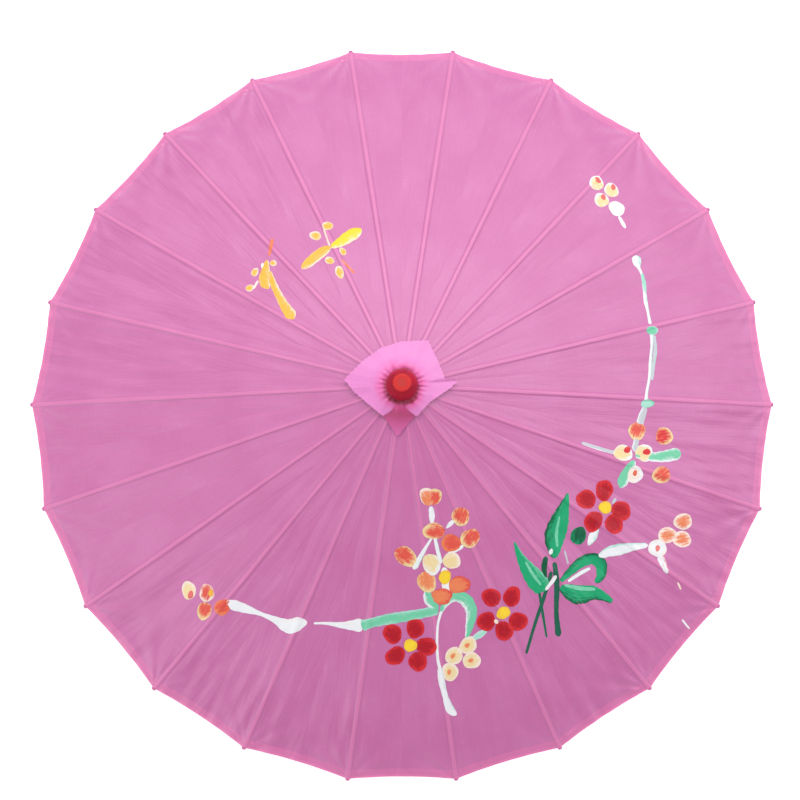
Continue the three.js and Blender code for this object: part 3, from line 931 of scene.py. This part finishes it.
# heights are in mm above the cloth, and each layer lies a little higher than the one before
brush = {
    "step": 1.2, "across": 10, "rings": 6, "spokes": 24,
    "dome": 0.22, "film": 0.09, "under": 0.05, "layer": 0.05,
}
strokes = {"x": [], "y": [], "lift": [], "body": [], "edge": [], "between": [], "u": [], "v": [], "faces": []}
brushDraw = np.random.default_rng(31)


def addStroke(x, y, lift, body, edge, between, u, v, faces):
    start = len(strokes["x"])
    for key, values in (("x", x), ("y", y), ("lift", lift), ("between", between), ("u", u), ("v", v)):
        strokes[key].extend(np.ravel(values).tolist())
    strokes["body"].extend([tints[body]] * np.size(x))
    strokes["edge"].extend([tints[edge]] * np.size(x))
    strokes["faces"].extend([[k + start for k in face] for face in faces])


def dab(x, y, radius, body, edge, long=1.0, turn=0, rim=0.75, lean=0.0, layer=1):
    # a pressed-down brush tip: a domed spot, its rim and one side in the second colour
    rings, spokes = brush["rings"], brush["spokes"]
    a = np.arange(spokes) * 2 * math.pi / spokes
    phase = brushDraw.uniform(0, 2 * math.pi, 3)
    wobble = 1 + 0.05 * np.sin(2 * a + phase[0]) + 0.04 * np.sin(3 * a + phase[1])
    wobble = wobble + 0.02 * np.sin(5 * a + phase[2])
    r = (np.arange(1, rings + 1) / rings)[:, None] * wobble[None, :]
    u = np.concatenate([[0], (radius * long * r * np.cos(a)).ravel()])
    v = np.concatenate([[0], (radius * r * np.sin(a)).ravel()])
    share = np.concatenate([[0], np.repeat(np.arange(1, rings + 1) / rings, spokes)])
    spin = math.radians(turn)
    px = x + u * math.cos(spin) - v * math.sin(spin)
    py = y + u * math.sin(spin) + v * math.cos(spin)
    lift = brush["film"] + brush["dome"] * np.sqrt(1 - 0.97 * share**2) + brush["layer"] * layer
    between = rim * share**2.6 + lean * (u / (radius * long)) * share + 0.1
    faces = [[0, 1 + k, 1 + (k + 1) % spokes] for k in range(spokes)]
    for ring in range(rings - 1):
        low = 1 + ring * spokes
        for k in range(spokes):
            k2 = (k + 1) % spokes
            faces.append([low + k, low + spokes + k, low + spokes + k2, low + k2])
    addStroke(px, py, lift, body, edge, between, u + 37 * x, v + 11 * y, faces)


def line(path, body, edge, rim=0.3, side=0.0, layer=0, blunt=0.5):
    # a drawn stroke through [x, y, width] points; side puts the second colour along one flank
    knots = [np.array(q, float) for q in (path[0], *path, path[-1])]
    if len(path) == 2:
        knots = [knots[0], knots[1], (knots[1] + knots[2]) / 2, knots[2], knots[3]]
    points = []
    for k in range(1, len(knots) - 2):
        a, b, c, d = knots[k - 1:k + 3]
        steps = max(2, int(np.hypot(*(c - b)[:2]) / brush["step"]))
        for step in range(steps):
            points.append(curveThrough(a, b, c, d, step / steps))
    points = np.array([*points, knots[-1]])
    ahead = np.gradient(points[:, :2], axis=0)
    length = np.concatenate([[0], np.cumsum(np.hypot(*np.diff(points[:, :2], axis=0).T))])
    ahead /= np.maximum(np.linalg.norm(ahead, axis=1, keepdims=True), 1e-9)
    toEnd = np.minimum(length, length[-1] - length)
    taper = np.sqrt(np.clip((toEnd + 0.15) / (blunt * points[:, 2] + 0.2), 0.02, 1))
    width = np.maximum(points[:, 2], 0.5) * taper
    width *= 1 + 0.035 * np.sin(length * 0.7 + 0.7) + 0.02 * np.sin(length * 1.9)
    v = np.linspace(-1, 1, brush["across"] + 1)
    px = points[:, :1] - ahead[:, 1:] * v * width[:, None] / 2
    py = points[:, 1:2] + ahead[:, :1] * v * width[:, None] / 2
    dome = brush["dome"] * np.sqrt(1 - 0.97 * v**2) * np.clip(width / 6, 0.25, 1)[:, None]
    lift = brush["film"] + dome + brush["layer"] * layer
    between = np.broadcast_to(rim * np.abs(v) ** 2.5 + side * v + 0.1, px.shape)
    u = np.broadcast_to(length[:, None] + 5 * len(strokes["x"]), px.shape)
    across = v * width[:, None] / 2 + 3 * len(strokes["x"])
    faces = gridFaces(len(points), len(v)).tolist()
    addStroke(px, py, lift, body, edge, between, u, across, faces)


# two yellow dragonflies
line([(-76, 158, 5), (-66, 164, 11), (-56, 171, 14), (-47, 177, 12), (-44, 180, 7)],
     "yellow", "shell", 0.3, -0.35, 1)
line([(-107, 135, 5), (-101, 140, 10), (-91, 149, 12), (-81, 156, 10), (-76, 158, 5)],
     "gold", "shell", 0.4, -0.3, 1)
line([(-84, 180, 2), (-80, 168, 2), (-77, 160, 2.4)], "shell", "gold")
line([(-64, 143, 2), (-57, 135, 2.4), (-50, 127, 2)], "orange", "shell")
for x, y, r, long, turn in ((-80, 184, 5, 1.2, -20), (-93, 173, 5, 1.3, -15), (-77, 143, 4, 1.3, -35),
                            (-63, 153, 3.4, 1.4, -55), (-66, 129, 4.2, 1.9, -72)):
    dab(x, y, r, "gold", "shell", long, turn, 0.7, -0.2)
line([(-145, 147, 4), (-146, 138, 8), (-147, 128, 12), (-145, 119, 12), (-142, 114, 5)],
     "gold", "shell", 0.4, 0.2, 1)
line([(-142, 134, 4), (-137, 119, 7), (-131, 106, 8), (-124, 93, 10), (-116, 81, 12), (-114, 78, 6)],
     "gold", "shell", 0.4, 0.25, 2, 0.4)
line([(-140, 172, 3.5), (-141, 163, 4), (-143, 152, 2.5)], "orange", "rose", 0.5)
line([(-150, 144, 3.2), (-149, 137, 4)], "white", "shell")
line([(-154, 124, 2.4), (-159, 115, 3)], "shell", "orange")
for x, y, r, long, turn in ((-158, 134, 4, 1.2, 60), (-163, 116, 4, 1.1, 0), (-138, 143, 3.4, 1.1, 0)):
    dab(x, y, r, "gold", "shell", long, turn, 0.75, 0.2)

# the thin branch down the right side, with its buds
line([(220, 231, 3), (226, 226, 3)], "grey", "white")
for x, y, turn in ((216, 244, -60), (233, 237, -100), (221, 224, -70)):
    dab(x, y, 8, "cream", "white", 1.1, turn, 0.7, -0.4)
    dab(x + 2, y + 3, 3.4, "rose", "coral", 1.3, turn, 0.4, 0.0, 2)
dab(238, 215, 9, "white", "shell", 1.0, 0, 0.3)
line([(240, 206, 3), (244, 198, 4.5), (247, 192, 3)], "white", "shell", 0.2)
line([(257, 160, 11), (258, 152, 10), (260, 146, 4), (263, 138, 3), (265, 122, 3.4), (266, 108, 4.5),
      (268, 96, 3), (270, 82, 4)], "white", "teal", 0.3, 0.35, 0, 0.3)
line([(263, 140, 3), (265, 130, 4.5), (266, 118, 3)], "teal", "mint", 0.3, 0.2, 1)
dab(272, 75, 5, "mint", "teal", 1.3, 0, 0.5, 0.3, 1)
line([(271, 73, 4), (271, 58, 3), (269, 42, 3.2), (267, 22, 3), (264, 8, 3), (262, -4, 4)],
     "white", "teal", 0.2, 0.45)
line([(274, 70, 3), (275, 54, 4), (272, 36, 4), (270, 20, 3)], "grey", "teal", 0.5, 0.3)
dab(264, -6, 4.6, "teal", "mint", 1.6, 10, 0.5, 0.3, 1)
line([(262, -9, 6), (257, -22, 8), (254, -34, 7), (251, -46, 6), (249, -58, 8)], "grey", "white", 0.5, -0.3)
line([(190, -51, 3), (208, -56, 4), (226, -60, 4), (244, -62, 6)], "grey", "white", 0.4, -0.2)
line([(250, -62, 5), (266, -63, 9), (282, -62, 12), (295, -59, 13), (302, -58, 8)],
     "mint", "white", 0.75, -0.1, 1, 0.2)
line([(249, -68, 6), (242, -77, 9), (236, -89, 12), (233, -97, 8)], "mint", "white", 0.6, 0.35, 1)
for x, y, body, edge, turn in ((252, -36, "coral", "cream", 250), (283, -40, "red", "cream", 200),
                               (236, -60, "cream", "white", 180), (260, -59, "cream", "white", 200),
                               (279, -82, "coral", "cream", 215), (248, -82, "shell", "white", 120)):
    dab(x, y, 9, body, edge, 1.15, turn if body == "coral" else 10, 0.65, 0.35, 2)
dab(240, -57, 4, "red", "coral", 1.2, 40, 0.4, 0.1, 3)
dab(262, -58, 4.4, "red", "coral", 1.3, 20, 0.4, 0.1, 3)
dab(249, -81, 3.4, "coral", "cream", 1.3, 70, 0.5, 0.1, 3)

# green leaves and their stems
line([(158, -186, 4), (150, -214, 4), (142, -238, 3.4), (132, -272, 3)], "stem", "deepGreen", 0.4)
line([(145, -206, 3), (149, -228, 3), (154, -255, 2)], "stem", "green", 0.4)
line([(161, -176, 5), (164, -200, 6), (164, -228, 5), (167, -254, 7)], "stem", "deepGreen", 0.4, 0.2)
line([(152, -170, 5), (150, -182, 6), (152, -194, 3)], "deepGreen", "stem", 0.4)
line([(176, -178, 2), (172, -164, 2)], "grey", "deepGreen")
line([(175, -104, 2), (171, -118, 11), (166, -134, 20), (161, -150, 22), (161, -166, 12), (163, -171, 5)],
     "green", "deepGreen", 0.35, -0.4, 1, 0.1)
line([(166, -128, 2), (163, -146, 4), (164, -160, 3)], "mint", "green", 0.6, 0.0, 5, 0.2)
dab(187, -148, 8, "deepGreen", "green", 1.25, 70, 0.4, -0.2, 1)
line([(118, -156, 2), (124, -170, 8), (133, -184, 16), (142, -195, 21), (150, -203, 18), (152, -206, 8)],
     "green", "mint", 0.3, 0.35, 1, 0.15)
line([(130, -176, 2), (139, -190, 3), (147, -200, 2)], "mint", "teal", 0.5, 0.0, 5, 0.2)
line([(168, -196, 4), (178, -186, 8), (190, -176, 11), (203, -172, 12), (212, -178, 13), (212, -190, 10),
      (206, -197, 4)], "green", "deepGreen", 0.3, 0.45, 1, 0.2)
line([(176, -196, 3), (190, -187, 4), (200, -182, 3)], "white", "teal", 0.4, 0.0, 5, 0.3)
line([(168, -202, 6), (176, -206, 15), (188, -210, 20), (203, -208, 15), (216, -212, 9), (225, -217, 5)],
     "green", "deepGreen", 0.35, -0.4, 1, 0.2)
line([(172, -200, 2), (188, -203, 4), (206, -204, 3)], "mint", "teal", 0.6, 0.0, 5, 0.3)
line([(152, -205, 3), (159, -196, 4), (163, -190, 4)], "white", "shell", 0.3, 0.0, 5)
line([(156, -168, 5), (158, -162, 4)], "white", "shell", 0.3, 0.0, 5)

# the twig on the right
line([(207, -172, 4), (219, -165, 10), (232, -162, 12), (248, -159, 8), (264, -157, 5)],
     "white", "teal", 0.45, 0.15, 0)
dab(275, -160, 9.5, "white", "shell", 1.1, 20, 0.4, 0.1, 1)
dab(275, -160, 4, "rose", "shell", 1.2, 60, 0.6, 0.0, 2)
line([(277, -167, 9), (281, -176, 8), (286, -187, 4)], "white", "rose", 0.3, 0.1)
for x, y, turn in ((304, -131, 20), (286, -146, 10), (303, -150, 15)):
    dab(x, y, 9, "orange", "shell", 1.15, turn, 0.95, -0.1, 1)
line([(298, -196, 2), (302, -204, 2.4)], "shell", "rose")
line([(304, -236, 1.8), (309, -242, 2.2), (313, -246, 1.6)], "white", "shell")

# the low branch, its arch and the hanging twig
line([(-187, -219, 7), (-178, -221, 11), (-165, -225, 9), (-150, -230, 4.4), (-135, -236, 7),
      (-120, -243, 15), (-108, -240, 13), (-100, -239, 3)], "white", "shell", 0.15, 0.1, 0, 0.25)
line([(-93, -240, 2.2), (-80, -240, 3), (-62, -242, 7), (-45, -242, 14), (-41, -242, 16)],
     "white", "shell", 0.15, 0.1, 0, 0.15)
line([(-43, -243, 14), (-34, -240, 10), (-16, -236, 11), (2, -233, 11), (20, -230, 10), (38, -226, 10)],
     "mint", "teal", 0.8, 0.1, 1, 0.2)
line([(25, -206, 6), (29, -216, 11), (38, -226, 6)], "mint", "white", 0.5, -0.45, 1)
line([(41, -228, 4), (46, -219, 7), (55, -213, 9), (66, -215, 13), (73, -227, 12), (71, -244, 8),
      (68, -256, 3)], "mint", "white", 0.35, -0.45, 1)
line([(42, -226, 3), (38, -240, 2.6), (37, -260, 2.6), (38, -278, 3), (41, -290, 4)], "white", "shell", 0.2)
line([(40, -286, 5), (42, -300, 7), (46, -316, 6), (51, -330, 9), (58, -337, 6)],
     "white", "grey", 0.25, 0.35, 1)
line([(74, -257, 4), (82, -252, 7), (90, -247, 4)], "teal", "white", 0.4, 0.2)
for x, y, body, edge, turn in ((-228, -205, "cream", "shell", 90), (-208, -208, "coral", "shell", 250),
                               (-211, -227, "coral", "cream", 240), (-191, -223, "coral", "orange", 200)):
    dab(x, y, 8, body, edge, 1.2, turn, 0.7, 0.3, 1)
dab(-226, -209, 3.6, "rose", "deepRed", 1.4, 250, 0.4, 0.2, 2)
dab(-204, -208, 3.4, "gold", "orange", 1.3, 80, 0.4, 0.1, 2)
for x, y, turn in ((70, -263, 30), (55, -274, 60), (74, -279, 20), (51, -291, 80)):
    dab(x, y, 8.6, "cream", "shell", 1.15, turn, 0.8, 0.15, 2)
    dab(x - 1, y, 3.2, "orange", "cream", 1.4, turn, 0.7, 0.0, 3)

# the spray of blossoms above the arch
line([(30, -120, 5), (31, -130, 6), (31, -138, 3)], "white", "grey", 0.3)
line([(58, -131, 2), (51, -137, 4.5), (46, -142, 2)], "white", "grey", 0.3)
line([(64, -160, 4), (56, -164, 5), (48, -168, 3)], "white", "grey", 0.3)
line([(33, -149, 2), (26, -160, 3), (19, -172, 5), (12, -184, 7)], "white", "teal", 0.3, 0.2)
line([(34, -150, 3), (37, -164, 4), (41, -178, 4)], "white", "teal", 0.3, 0.2)
line([(44, -182, 7), (46, -198, 9), (48, -212, 8)], "white", "shell", 0.3)
for x, y, r, body, edge, long, turn in (
        (26, -110, 8, "orange", "shell", 1.1, 120), (34, -110, 7, "coral", "cream", 1.2, 60),
        (61, -130, 9, "coral", "cream", 1.1, 250), (33, -145, 8.5, "coral", "cream", 1.35, 175),
        (71, -152, 9.5, "coral", "cream", 1.1, 230), (51, -157, 9, "coral", "orange", 1.15, 200),
        (4, -171, 9.5, "coral", "cream", 1.3, 330), (31, -179, 9.5, "cream", "white", 1.15, 300),
        (52, -175, 9, "cream", "shell", 1.0, 20), (26, -197, 9.5, "orange", "cream", 1.2, 280),
        (60, -200, 9, "orange", "coral", 1.3, 15), (42, -212, 8.5, "orange", "coral", 1.3, 350)):
    dab(x, y, r, body, edge, long, turn, 0.65, 0.35, 2 + x % 4)
dab(45, -192, 6.5, "yellow", "gold", 1.1, 60, 0.5, 0.1, 8)

# three red flowers
line([(208, -139, 4), (206, -144, 6), (202, -150, 9), (198, -158, 3)], "white", "teal", 0.3, 0.3)
line([(228, -108, 3), (224, -114, 3)], "grey", "teal")
for centre, petals, size in (
        ((216, -118), ((215, -100), (195, -110), (203, -133), (226, -135), (234, -121)), 10.5),
        ((107, -229), ((94, -213), (116, -212), (123, -238), (108, -248), (89, -238)), 10),
        ((9, -263), ((14, -245), (-10, -251), (-7, -274), (17, -280), (26, -264)), 10.2)):
    for k, (x, y) in enumerate(petals):
        turn = math.degrees(math.atan2(y - centre[1], x - centre[0]))
        dab(x, y, size - 0.6, "deepRed", "red", 1.12, turn, 0.75, 0.25, 1 + 1.3 * k)
    dab(*centre, 6.4, "yellow", "gold", 1.15, 20, 0.5, 0.1, 8)
line([(101, -240, 5), (98, -236, 4)], "shell", "cream", 0.3, 0.0, 8)


def paintPieces():
    x, y = np.array(strokes["x"]) * mm, np.array(strokes["y"]) * mm
    lift = np.array(strokes["lift"]) * mm
    step = 0.0003
    z = coverHeight(x, y)
    slopeX = (coverHeight(x + step, y) - coverHeight(x - step, y)) / (2 * step)
    slopeY = (coverHeight(x, y + step) - coverHeight(x, y - step)) / (2 * step)
    normal = np.stack([-slopeX, -slopeY, np.ones_like(x)], -1)
    normal /= np.linalg.norm(normal, axis=1, keepdims=True)
    skin = np.stack([x, y, z], -1)
    top = skin + normal * lift[:, None]
    under = skin - normal * brush["under"] * mm
    shading = normal.copy()
    groups = {}
    for face in strokes["faces"]:
        a, b, c = top[face[0]], top[face[1]], top[face[2]]
        square = np.cross(b - a, c - a)
        if square[2] < 0:
            face = face[::-1]
            square = -square
        shading[face] += 0.35 * square / (np.linalg.norm(square) + 1e-12)
        middle = skin[face].mean(0)
        i = int(round(math.atan2(middle[1], middle[0]) / pitch)) % ribCount
        s = -middle[0] * math.sin(i * pitch) + middle[1] * math.cos(i * pitch)
        side = 0 if abs(s) < cover["bandHalf"] else (1 if s > 0 else -1)
        groups.setdefault((i, side), []).append(face)
    shading /= np.linalg.norm(shading, axis=1, keepdims=True)
    body, edge = np.array(strokes["body"]), np.array(strokes["edge"])
    between, u, v = (np.array(strokes[key]) for key in ("between", "u", "v"))
    for (i, side), faces in sorted(groups.items()):
        used = sorted({k for face in faces for k in face})
        place = {k: n for n, k in enumerate(used)}
        count = len(used)
        faces = [[place[k] for k in face] for face in faces]
        edges = {(face[k - 1], face[k]) for face in faces for k in range(len(face))}
        walls = [[a, a + count, b + count, b] for a, b in edges if (b, a) not in edges]
        below = [[k + count for k in face[::-1]] for face in faces]
        name = f"paint_{ribNumber(i)}_{('middle', 'left', 'right')[side]}"
        points = np.concatenate([top[used], under[used]])
        piece = addMesh(name, points, faces + below + walls, brushPaint)
        for key, values in (("body", body), ("edge", edge)):
            attribute = piece.data.attributes.new(key, "FLOAT_COLOR", "POINT")
            color = np.concatenate([values[used], np.ones((count, 1))], 1)
            attribute.data.foreach_set("color", np.concatenate([color, color]).astype(np.float32).ravel())
        setFloat(piece, "between", np.concatenate([between[used]] * 2))
        setUv(piece, np.concatenate([u[used]] * 2) * mm, np.concatenate([v[used]] * 2) * mm)
        both = np.concatenate([shading[used], -normal[used]])
        piece.data.normals_split_custom_set_from_vertices(both.tolist())
        rideRib(piece, i, side, side == 0)
    return len(groups)


print("brushwork made:", paintPieces(), "pieces")


# thread lashings and pins, one tree each, one mesh for each rib
lashing = {
    "turns": 4, "radius": 2.15 * mm, "rise": 2.4 * mm, "thread": 0.32 * mm, "fromTip": 3.2 * mm,
    "sink": 1.15 * mm, "flatten": 0.92,
}
pin = {"radius": 0.62 * mm, "length": 3.4 * mm, "head": 0.95 * mm}


def newTree(name, inputs):
    tree = bpy.data.node_groups.new(name, "GeometryNodeTree")
    tree.interface.new_socket("Geometry", in_out="INPUT", socket_type="NodeSocketGeometry")
    tree.interface.new_socket("Geometry", in_out="OUTPUT", socket_type="NodeSocketGeometry")
    for socketName, kind in inputs:
        tree.interface.new_socket(socketName, in_out="INPUT", socket_type=kind)
    return tree, tree.nodes.new("NodeGroupInput").outputs, tree.nodes.new("NodeGroupOutput").inputs


def finishTree(tree, geometry, given, out):
    real = addNode(tree, "GeometryNodeRealizeInstances", {"Geometry": geometry}).outputs["Geometry"]
    smooth = addNode(tree, "GeometryNodeSetShadeSmooth", {"Geometry": real}).outputs["Geometry"]
    painted = addNode(tree, "GeometryNodeSetMaterial", {"Geometry": smooth, "Material": given["Material"]})
    tree.links.new(painted.outputs["Geometry"], out["Geometry"])
    return tree


def lashingTree():
    number = "NodeSocketFloat"
    tree, given, out = newTree("lashing", [("Turns", number), ("Radius", number), ("Rise", number),
                                           ("Thread", number), ("Material", "NodeSocketMaterial")])
    values = {"Resolution": 16, "Rotations": given["Turns"], "Start Radius": given["Radius"],
              "End Radius": given["Radius"], "Height": given["Rise"]}
    coil = addNode(tree, "GeometryNodeCurveSpiral", values).outputs["Curve"]
    section = addNode(tree, "GeometryNodeCurvePrimitiveCircle", {"Resolution": 6, "Radius": given["Thread"]})
    values = {"Curve": coil, "Profile Curve": section.outputs["Curve"], "Fill Caps": True}
    return finishTree(tree, addNode(tree, "GeometryNodeCurveToMesh", values).outputs["Mesh"], given, out)


def pinTree():
    number = "NodeSocketFloat"
    tree, given, out = newTree("pin", [("Radius", number), ("Length", number), ("Head", number),
                                       ("Material", "NodeSocketMaterial")])
    values = {"Vertices": 14, "Radius": given["Radius"], "Depth": given["Length"]}
    shank = addNode(tree, "GeometryNodeMeshCylinder", values).outputs["Mesh"]
    knob = addNode(tree, "GeometryNodeMeshUVSphere", {"Segments": 14, "Rings": 7, "Radius": given["Head"]})
    flat = addNode(tree, "GeometryNodeTransform", {"Geometry": knob.outputs["Mesh"], "Scale": (1, 1, 0.45)})
    ends = []
    for sign in (0.5, -0.5):
        up = maths(tree, "MULTIPLY", given["Length"], sign)
        shift = addNode(tree, "ShaderNodeCombineXYZ", {"Z": up}).outputs[0]
        values = {"Geometry": flat.outputs["Geometry"], "Translation": shift}
        ends.append(addNode(tree, "GeometryNodeTransform", values))
    join = addNode(tree, "GeometryNodeJoinGeometry")
    for geometry in (shank, ends[0].outputs["Geometry"], ends[1].outputs["Geometry"]):
        tree.links.new(geometry, join.inputs["Geometry"])
    return finishTree(tree, join.outputs["Geometry"], given, out)


def grow(name, tree, values, place):
    # evaluates a tree on an empty mesh and keeps the result as a plain mesh, put where it belongs
    piece = bpy.data.objects.new(name, bpy.data.meshes.new(name))
    scene.collection.objects.link(piece)
    modifier = piece.modifiers.new(tree.name, "NODES")
    modifier.node_group = tree
    for item in tree.interface.items_tree:
        if item.in_out == "INPUT" and item.name in values:
            modifier[item.identifier] = values[item.name]
    bakeModifiers(piece)
    piece.data.transform(place)
    return piece


coilTree = lashingTree()
rivetTree = pinTree()
for i in range(ribCount):
    name = ribNumber(i)
    origin, along, face, across = armFrame(i)
    axes = Matrix((across, face, along)).transposed().to_4x4()
    tip = origin + along * ((canopyRadius - lacingRadius) / math.cos(openAngle) - lashing["fromTip"])
    flatten = Matrix.Diagonal((1.0, lashing["flatten"], 1, 1))
    coilPlace = Matrix.Translation(tip + face * (ribTop - lashing["sink"])) @ axes @ flatten
    values = {"Turns": lashing["turns"], "Radius": lashing["radius"], "Rise": lashing["rise"],
              "Thread": lashing["thread"], "Material": pinkThread}
    coil = grow("lashing_" + name, coilTree, values, coilPlace)
    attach(coil, "rib_" + name)
    sideways = Matrix((along, face, -across)).transposed().to_4x4()
    pinPlace = Matrix.Translation(origin + along * armLength) @ sideways
    values = {"Radius": pin["radius"], "Length": pin["length"], "Head": pin["head"], "Material": springSteel}
    rivet = grow("pin_" + name, rivetTree, values, pinPlace)
    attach(rivet, "rib_" + name)
print("lashings and pins made")


# room
floorLook = {"size": 6.0, "glow": 0.50}
lights = {"key": 53.0, "right": 15.0, "left": 15.0, "world": 0.42, "horizon": 0.93}


def floorMaterial():
    material, tree, shader = newMaterial("floorPaint")
    mottled = noiseOf(tree, objectPlace(tree), 6.0, 3, 0.5)
    base = mixColors(tree, mottled, (0.92, 0.92, 0.92, 1), (0.95, 0.95, 0.95, 1))
    setShader(tree, shader, Base_Color=base, Roughness=0.9, Specular_IOR_Level=0.1,
              Emission_Color=(1, 1, 1, 1), Emission_Strength=floorLook["glow"])
    # seen from below the floor is clear, so the underside can be looked at
    clear = addNode(tree, "ShaderNodeBsdfTransparent").outputs["BSDF"]
    side = addNode(tree, "ShaderNodeNewGeometry").outputs["Backfacing"]
    mix = addNode(tree, "ShaderNodeMixShader", {0: side, 1: shader.outputs["BSDF"], 2: clear})
    output = next(node for node in tree.nodes if node.type == "OUTPUT_MATERIAL")
    tree.links.new(mix.outputs["Shader"], output.inputs["Surface"])
    return material


half = floorLook["size"] / 2
corners = [(-half, -half, 0), (half, -half, 0), (half, half, 0), (-half, half, 0)]
floor = addMesh("floor", corners, [(0, 1, 2, 3)], floorMaterial(), False)
floor.location.z = -0.0005

world = bpy.data.worlds.new("room")
world.use_nodes = True
sky = world.node_tree
backdrop = sky.nodes["Background"]
backdrop.inputs["Color"].default_value = (1.0, 1.0, 1.0, 1)
# pale at the horizon and dimmer overhead
outlook = addNode(sky, "ShaderNodeTexCoord").outputs["Generated"]
upward = addNode(sky, "ShaderNodeSeparateXYZ", {"Vector": outlook}).outputs["Z"]
fade = {
    "Value": upward, "From Min": 0.0, "From Max": 0.7,
    "To Min": lights["horizon"], "To Max": lights["world"],
}
sky.links.new(addNode(sky, "ShaderNodeMapRange", fade).outputs["Result"], backdrop.inputs["Strength"])
scene.world = world


def softLight(name, place, aim, size, power):
    data = bpy.data.lights.new(name, "AREA")
    data.shape = "RECTANGLE"
    data.size, data.size_y = size
    data.energy = power
    lamp = bpy.data.objects.new(name, data)
    lamp.location = place
    lamp.rotation_euler = (Vector(aim) - Vector(place)).to_track_quat("-Z", "Y").to_euler()
    scene.collection.objects.link(lamp)


softLight("key", (0, 1.5, 2.55), (0, 0, 0.4), (3.4, 0.9), lights["key"])
softLight("right", (2.2, 0.3, 2.3), (0, 0, 0.4), (1.2, 1.2), lights["right"])
softLight("left", (-2.3, -1.2, 1.7), (0, 0, 0.4), (1.2, 1.2), lights["left"])
scene.view_settings.view_transform = "Standard"
